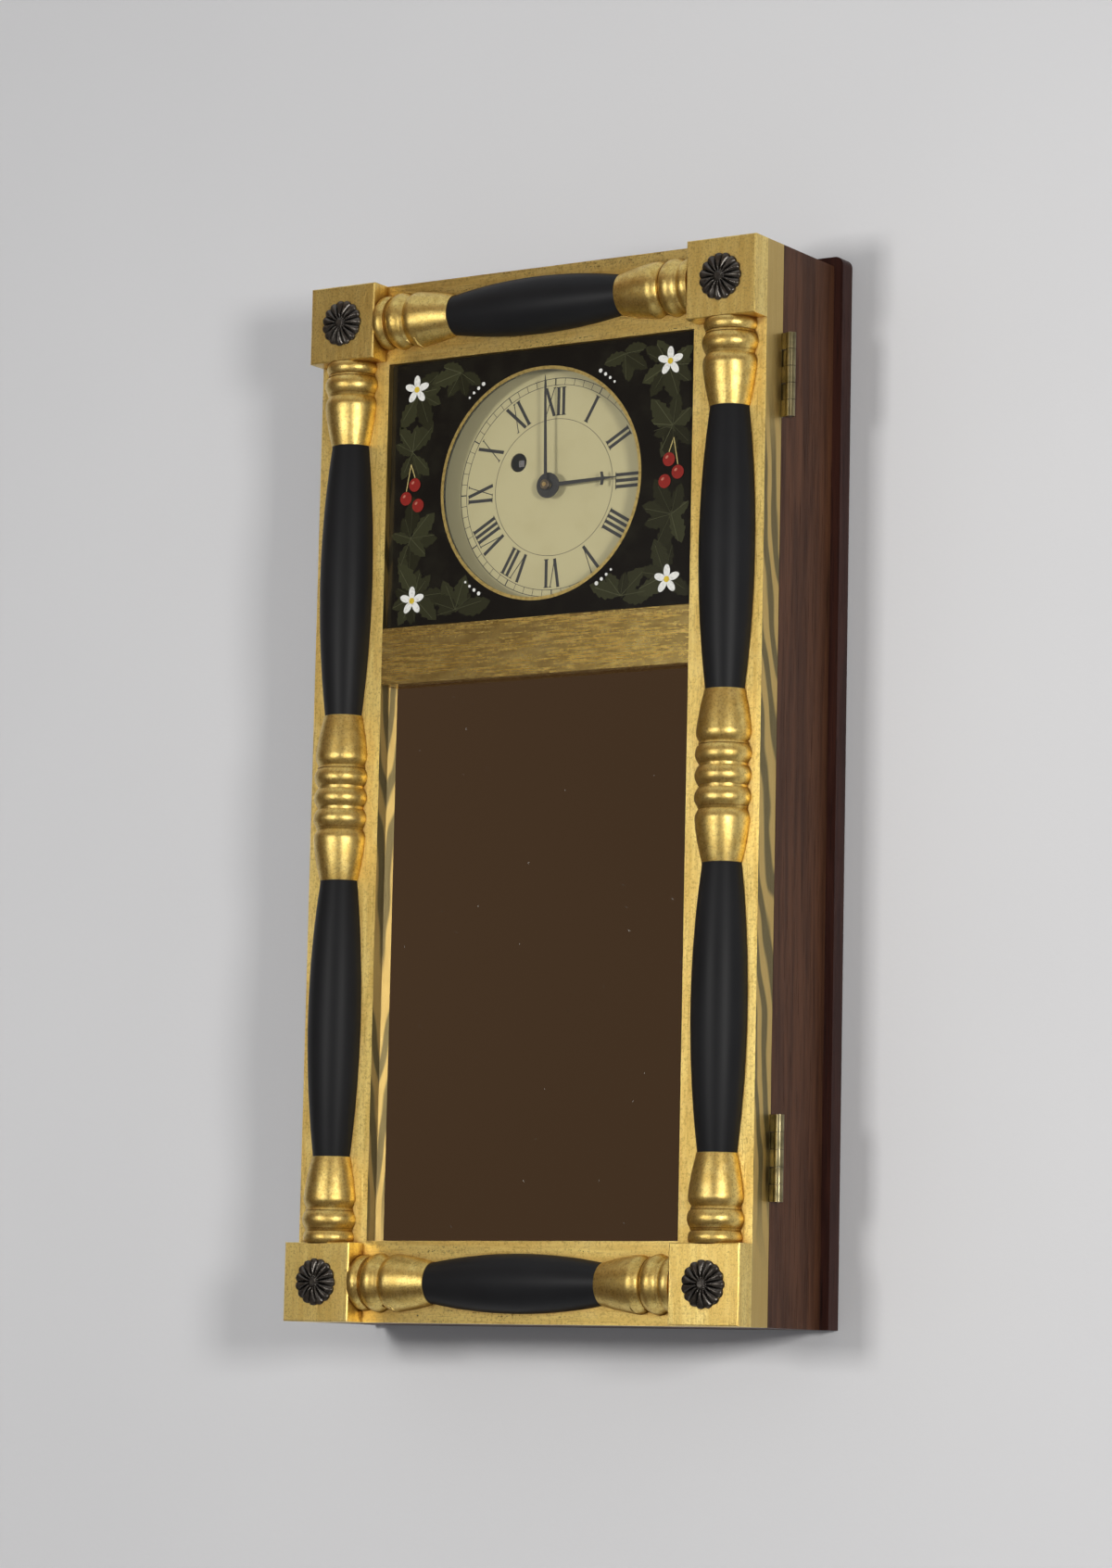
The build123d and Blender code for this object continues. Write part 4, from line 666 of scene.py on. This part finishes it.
# Four split turnings glued to the frame. Their ends and middles are gilded, and the long
# swelling spindles between are painted satin black.
def profile(length, rings):
    """Distance along and radius of a turning, in metres. Each member is a parabola through its
    two ends and its middle, or a straight taper. It is given as its run and its first, middle
    and last radius, in millimetres, with no middle one for a taper."""
    end = [(7.7, 17.9, 18.9, 17.5), (1.8, 17.0, None, 17.9), (12.3, 17.4, 19.8, 17.4),
           (1.8, 17.9, None, 17.0), (7.5, 17.0, 18.9, 19.2), (27.0, 19.2, 17.2, 14.2)]
    back = [(run, last, middle, first) for run, first, middle, last in end[::-1]]
    members = list(end)
    spindle = (13.7, 19.7, 13.7)
    reach = sum(member[0] for member in end)
    if rings:
        gap = (2.0, 17.0, None, 17.0)
        middle = back[:3] + ([end[2], gap] * rings)[:-1] + end[3:]
        run = (length - 2 * reach - sum(member[0] for member in middle)) / 2
        members += [(run,) + spindle] + middle + [(run,) + spindle]
    else:
        members += [(length - 2 * reach,) + spindle]
    members += back
    along, radius = [], []
    place = 0.0
    for run, first, middle, last in members:
        steps = max(3, int(run / 0.9) + 1) if middle else 2
        part = np.linspace(0, 1, steps)
        centre = (first + last) / 2 if middle is None else middle
        bulge = (first * (1 - part) * (1 - 2 * part) + centre * 4 * part * (1 - part)
                 + last * part * (2 * part - 1))
        along.append(place + run * part)
        radius.append(bulge)
        place += run
    return np.concatenate(along) / 1000, np.concatenate(radius) / 1000


def half_turning(name, foot, direction, length, rings, material, segments=56):
    """The profile carried through half a turn in front of the door, closed by a flat back."""
    along, radius = profile(length, rings)
    direction = np.array(direction, float)
    front = np.array((0.0, -1.0, 0.0))
    side = np.cross(direction, front)
    turn = np.linspace(0, np.pi, segments)
    ring = side[None, :] * np.cos(turn)[:, None] + front[None, :] * np.sin(turn)[:, None]
    points = (np.array(foot)[None, None, :] + along[:, None, None] * direction
              + radius[:, None, None] * ring[None, :, :]).reshape(-1, 3)
    quads = band_quads(len(along), segments)
    step = np.arange(segments)
    caps = [tuple(step[::-1]), tuple((len(along) - 1) * segments + step)]
    piece = mesh_piece(name, points, [tuple(quad) for quad in quads] + caps, material, "door", 38)
    piece.data.flip_normals()
    return piece


door_front = 0.1024
block_across, block_low, block_high = 0.15125, -0.66315, -0.00505
upright_foot, upright_length = -0.6367, 605.2
cross_start, cross_length = -0.125, 250.0
column_middle = upright_foot + upright_length / 2000
black_start, black_end, cross_black = 0.05675, 0.24450, 0.0669
paint_edge = 0.0002


def upright_black(x, y, z):
    """1 on an upright's two long swellings, which lie between two distances from its middle."""
    away = (z - column_middle).size()
    return away.rise(black_start - paint_edge, black_start + paint_edge) * away.rise(
        black_end + paint_edge, black_end - paint_edge)


def cross_black_mask(x, y, z):
    """1 on a cross turning's swelling, which lies within a distance from its middle."""
    return x.size().rise(cross_black + paint_edge, cross_black - paint_edge)


upright_turned = gilding("turned_upright", "", 0.27, 0.00026, black=upright_black)
cross_turned = gilding("turned_across", "", 0.27, 0.00026, black=cross_black_mask)
for name, foot, direction, length, rings, material in (
    ("left", (-block_across, -door_front, upright_foot), (0, 0, 1), upright_length, 3, upright_turned),
    ("right", (block_across, -door_front, upright_foot), (0, 0, 1), upright_length, 3, upright_turned),
    ("bottom", (cross_start, -door_front, block_low), (1, 0, 0), cross_length, 0, cross_turned),
    ("top", (cross_start, -door_front, block_high), (1, 0, 0), cross_length, 0, cross_turned),
):
    column = half_turning(name + "_turning", foot, direction, length, rings, material)
    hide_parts(name + "_column")

# Rosettes, cast and stained nearly black, one pinned to each corner block: round ribs run from a
# small knob to a scalloped rim.
bronze = Finish("stained_bronze")
bronze_patch = bronze.noise((300, 300, 300), 3.0)
# Painted shade: the hollows between the ribs, found by occlusion, go nearly black.
bronze_shade = bronze.node("AmbientOcclusion", {"samples": 4}, {"Distance": 0.003}, "AO")
bronze_colour = bronze.blend(bronze_patch.rise(0.4, 0.7), (0.085, 0.078, 0.071),
                             (0.130, 0.120, 0.106))
bronze_colour = bronze.blend(bronze_shade.rise(0.85, 0.35), bronze_colour, (0.010, 0.008, 0.007))
bronze.relief(bronze_patch, 0.0001, 0.5)
bronze.surface(Base_Color=bronze_colour, Metallic=0.85, Roughness=bronze_patch * 0.16 + 0.2)


def rosette_grid(middle, radius, rise, ribs, block_front):
    """Height over a disc: a dome that falls from knob to rim, times ribs that follow the size of
    a cosine round the centre and fade out towards the knob."""
    share = np.concatenate([np.linspace(0.0, 0.2, 9)[1:], np.linspace(0.2, 1.0, 26)[1:]])
    turn = np.linspace(0, 2 * np.pi, ribs * 12, endpoint=False)
    rib = np.abs(np.cos(turn * ribs / 2)) ** 0.8
    reach = radius * (0.93 + 0.07 * rib)
    fade = np.clip((share - 0.16) / 0.2, 0, 1)[:, None]
    dome = (0.30 + 0.70 * np.sqrt(np.clip(1 - share ** 2.4, 0, 1)))[:, None] * rise * 0.86
    dip = 1 - 0.22 * np.exp(-((share - 0.26) / 0.07) ** 2)[:, None]
    knob = rise * 0.34 * np.sqrt(np.clip(1 - (share / 0.15) ** 2, 0, 1))[:, None]
    height = dome * dip * (1 - fade * 0.52 * (1 - rib[None, :])) + knob
    height = np.minimum(height, rise)
    across = share[:, None] * reach[None, :]
    rim = np.stack([reach * np.cos(turn), np.full(len(turn), 0.0), reach * np.sin(turn)], axis=1)
    grid = np.stack([across * np.cos(turn), -height, across * np.sin(turn)], axis=-1)
    points = np.concatenate([[(0, -float(height[0].max()), 0)], grid.reshape(-1, 3), rim, [(0, 0, 0)]])
    sides = len(turn)
    step = np.arange(sides)
    after = (step + 1) % sides
    quads = 1 + band_quads(len(share) + 1, sides)
    tips = np.stack([np.zeros(sides, int), 1 + after, 1 + step], axis=-1)
    back_row = 1 + len(share) * sides
    under = np.stack([np.full(sides, len(points) - 1), back_row + step, back_row + after], axis=-1)
    points = points + np.array((middle[0], -block_front, middle[1]))
    return points, [tuple(face[::-1]) for group in (quads, tips, under) for face in group]


block_front = 0.1189
rosette_radius, rosette_height, rosette_ribs = 0.0158, 0.0046, 15
rosette_points, rosette_faces = [], []
for across in (-block_across, block_across):
    for up in (block_low, block_high):
        found, faces = rosette_grid((across, up), rosette_radius, rosette_height, rosette_ribs,
                                    block_front)
        offset = sum(len(part) for part in rosette_points)
        rosette_points.append(found)
        rosette_faces += [tuple(index + offset for index in face) for face in faces]
rosettes = mesh_piece("cast_rosettes", np.concatenate(rosette_points), rosette_faces,
                      bronze.material, "door", 60)
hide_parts("rosettes")

# Tablet, a sheet of glass painted on its back in black with a round clear window, set in the
# upper opening. Olive leaves, berries and white blossoms are painted round the window.
tablet_low, tablet_high = [np.array(corner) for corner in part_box("tablet_glass")]
tablet_front, tablet_back = -float(tablet_low[1]), -float(tablet_high[1])
window_radius = 0.0779
half_wide, half_high = float(tablet_high[0]), float(tablet_high[2]) - dial_middle
corner_turn = math.atan2(half_high, half_wide)
corners = [corner_turn, math.pi - corner_turn, math.pi + corner_turn, 2 * math.pi - corner_turn]
turn = np.unique(np.concatenate([np.linspace(0, 2 * np.pi, 200, endpoint=False), corners]))
# The sheet's edge, seen from the window's middle: the nearer of its side and its top or bottom.
reach = np.minimum(half_wide / np.maximum(np.abs(np.cos(turn)), 1e-9),
                   half_high / np.maximum(np.abs(np.sin(turn)), 1e-9))
ground = Finish("tablet_black")
ground_cloud = ground.noise((45, 45, 45), 4.0, 0.6)
ground.surface(Base_Color=ground.blend(ground_cloud.rise(0.4, 0.75), (0.0045, 0.0045, 0.004),
                                       (0.010, 0.010, 0.007)),
               Roughness=0.22, Coat_Weight=0.3, Coat_Roughness=0.06)
tablet = ring_piece("tablet_ground", window_radius, reach, tablet_back,
                    tablet_front - tablet_back, ground.material, "door", turn)
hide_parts("tablet_glass")

# Painted sheen: the window's pale colour, nearly all see-through, stands for the glass's faint
# reflection.
clear = Finish("clear_window")
clear.surface(Base_Color=clear.blend(clear.noise((30, 30, 30)), (0.78, 0.82, 0.80),
                                     (0.82, 0.85, 0.83)),
              Roughness=0.04, Alpha=0.018)
window_turn = np.linspace(0, 2 * np.pi, 120, endpoint=False)
window_edge = (window_radius - 0.0002) * np.stack([np.cos(window_turn), np.sin(window_turn)], axis=1)
window = flat_forms("tablet_window", [window_edge], tablet_back + 0.0004, 0.0018, clear.material,
                    "door")

ring_gold = Finish("painted_gold_line")
ring_patch = ring_gold.noise((400, 400, 400), 3.0)
ring_gold.surface(Base_Color=ring_gold.blend(ring_patch.rise(0.4, 0.7), (0.56, 0.42, 0.14),
                                             (0.36, 0.26, 0.08)),
                  Metallic=0.75, Roughness=0.4)
gold_ring = ring_piece("tablet_gold_ring", window_radius, window_radius + 0.0022, tablet_front,
                       0.0001, ring_gold.material, "door")


def oval(middle, length, width, angle, corners=18):
    """An ellipse with its long axis at an angle in degrees."""
    turn = np.linspace(0, 2 * np.pi, corners, endpoint=False)
    shape = np.stack([length / 2 * np.cos(turn), width / 2 * np.sin(turn)], axis=1)
    return turned(shape, -angle) + np.array(middle)


def painted_leaf(middle, length, width, angle, teeth=5):
    """A pointed leaf: its half width follows a sine along it, nicked by a saw-tooth wave."""
    part = np.linspace(0, 1, teeth * 4 + 1)
    saw = 1 - 0.30 * ((part * teeth) % 1.0)
    half = width / 2 * np.sin(np.pi * part) ** 0.8 * saw
    upper = np.stack([part * length, half], axis=1)
    lower = np.stack([part * length, -half], axis=1)[-2:0:-1]
    return turned(np.concatenate([upper, lower]), -angle) + np.array(middle)


chance = np.random.default_rng(7)
forms, tints, lifts = [], [], []


def paint(outline, tint, layer):
    """Adds one brush mark, turned counter-clockwise if it isn't, on its layer."""
    outline = np.asarray(outline)
    area = np.sum(outline[:, 0] * np.roll(outline[:, 1], -1)
                  - np.roll(outline[:, 0], -1) * outline[:, 1])
    forms.append(outline if area > 0 else outline[::-1])
    tints.append(tint)
    lifts.append(tablet_front + 0.00001 + 0.00018 * layer + 0.000013 * (len(forms) % 13))


def allowed(points):
    """Whether a mark keeps clear of the window and inside the frame."""
    far = np.hypot(points[:, 0], points[:, 1]).min() > window_radius + 0.0025
    return far and np.abs(points[:, 0]).max() < 0.1205 and np.abs(points[:, 1]).max() < 0.0905


sprays = [(side * 0.100, rise * 0.071) for side in (-1, 1) for rise in (-1, 1)]
sprays += [(side * 0.104, 0.030 * rise) for side in (-1, 1) for rise in (-1, 1)]
sprays += [(side * 0.066, rise * 0.082) for side in (-1, 1) for rise in (-1, 1)]
for x, z in sprays:
    for number in range(9):
        angle = number * 40.0 + chance.uniform(-12, 12)
        length = chance.uniform(0.017, 0.028)
        foot = (x + chance.uniform(-0.003, 0.003), z + chance.uniform(-0.003, 0.003))
        shape = painted_leaf(foot, length, length * 0.52, angle)
        if not allowed(shape):
            continue
        shade = chance.uniform(0.5, 1.25)
        paint(shape, (0.026 * shade, 0.028 * shade, 0.012 * shade), 0)
        spine = bar((x, z), (x + 0.82 * length * math.cos(math.radians(angle)),
                             z + 0.82 * length * math.sin(math.radians(angle))), 0.00035)
        if allowed(spine):
            paint(spine, (0.075 * shade, 0.078 * shade, 0.040 * shade), 1)
petal_white, stamen_yellow = (0.72, 0.72, 0.68), (0.62, 0.45, 0.04)
berry_red, berry_gleam, stalk_tan = (0.23, 0.016, 0.012), (0.46, 0.15, 0.10), (0.45, 0.36, 0.14)
dot_white, dot_circle = (0.70, 0.70, 0.66), 0.0862
for side in (-1, 1):
    for rise in (-1, 1):
        x, z = side * 0.1015, rise * 0.0735
        for number in range(5):
            angle = 90.0 + number * 72.0
            petal = (x + 0.0056 * math.cos(math.radians(angle)),
                     z + 0.0056 * math.sin(math.radians(angle)))
            paint(oval(petal, 0.0088, 0.0050, angle), petal_white, 2)
        paint(oval((x, z), 0.0042, 0.0042, 0.0), stamen_yellow, 3)
    for x, z in ((0.1015, 0.007), (0.1085, -0.002), (0.0985, -0.0075)):
        paint(oval((side * x, z), 0.0094, 0.0094, 0.0, 24), berry_red, 2)
        paint(oval((side * x - 0.0014, z + 0.0016), 0.0026, 0.0017, 40.0), berry_gleam, 3)
    for x, z in ((0.1015, 0.012), (0.1085, 0.003)):
        paint(bar((side * x, z), (side * 0.1050, 0.0215), 0.0007), stalk_tan, 1)
    for rise in (-1, 1):
        for number in range(4):
            angle = math.radians(90.0 - side * (33.0 + number * 3.1))
            wide = 0.0028 - 0.00035 * number
            paint(oval((dot_circle * math.cos(angle), rise * dot_circle * math.sin(angle)),
                       wide, wide, 0.0, 14), dot_white, 2)
enamels = Finish("tablet_colours")
tint_value = enamels.node("Attribute", {"attribute_name": "tint"})
brush = enamels.noise((600, 600, 600), 2.0)
enamels.surface(Base_Color=enamels.blend(brush.rise(0.45, 0.75) * 0.25, tint_value,
                                         (0.02, 0.018, 0.012)),
                Roughness=0.25, Coat_Weight=0.3, Coat_Roughness=0.06)
flowers = flat_forms("tablet_flowers", forms, lifts, 0.00003, enamels.material, "door", tints)

# Mirror in the door's lower opening, a sheet of silvered plate glass held from behind by beads. A
# few specks show where the silver has gone.
silver = Finish("old_mirror")
speck = silver.noise((330, 330, 330), 2.0).rise(0.765, 0.80)
haze = silver.noise((6, 6, 6), 2.0)
silver.surface(Base_Color=silver.blend(speck * 0.5, (0.80, 0.79, 0.76), (0.35, 0.32, 0.28)),
               Metallic=1.0, Roughness=speck * 0.25 + haze * 0.02 + 0.008)
dress(silver.material, "mirror_glass")

# Two butt hinges with plain barrels at the door's right, and the hook and stud that keep the door
# shut at its left. All are of brass gone olive with age, with grime and painted shade darkening
# the gaps between the knuckles.
old_brass = brass_finish("olive_brass", (0.30, 0.26, 0.14), (0.15, 0.13, 0.07),
                         (1400.0, 1400.0, 300.0), 0.30, 0.95)
dress(old_brass, "hinge_case_leaves", "hinge_door_leaves", "latch_hook", "latch_stud")
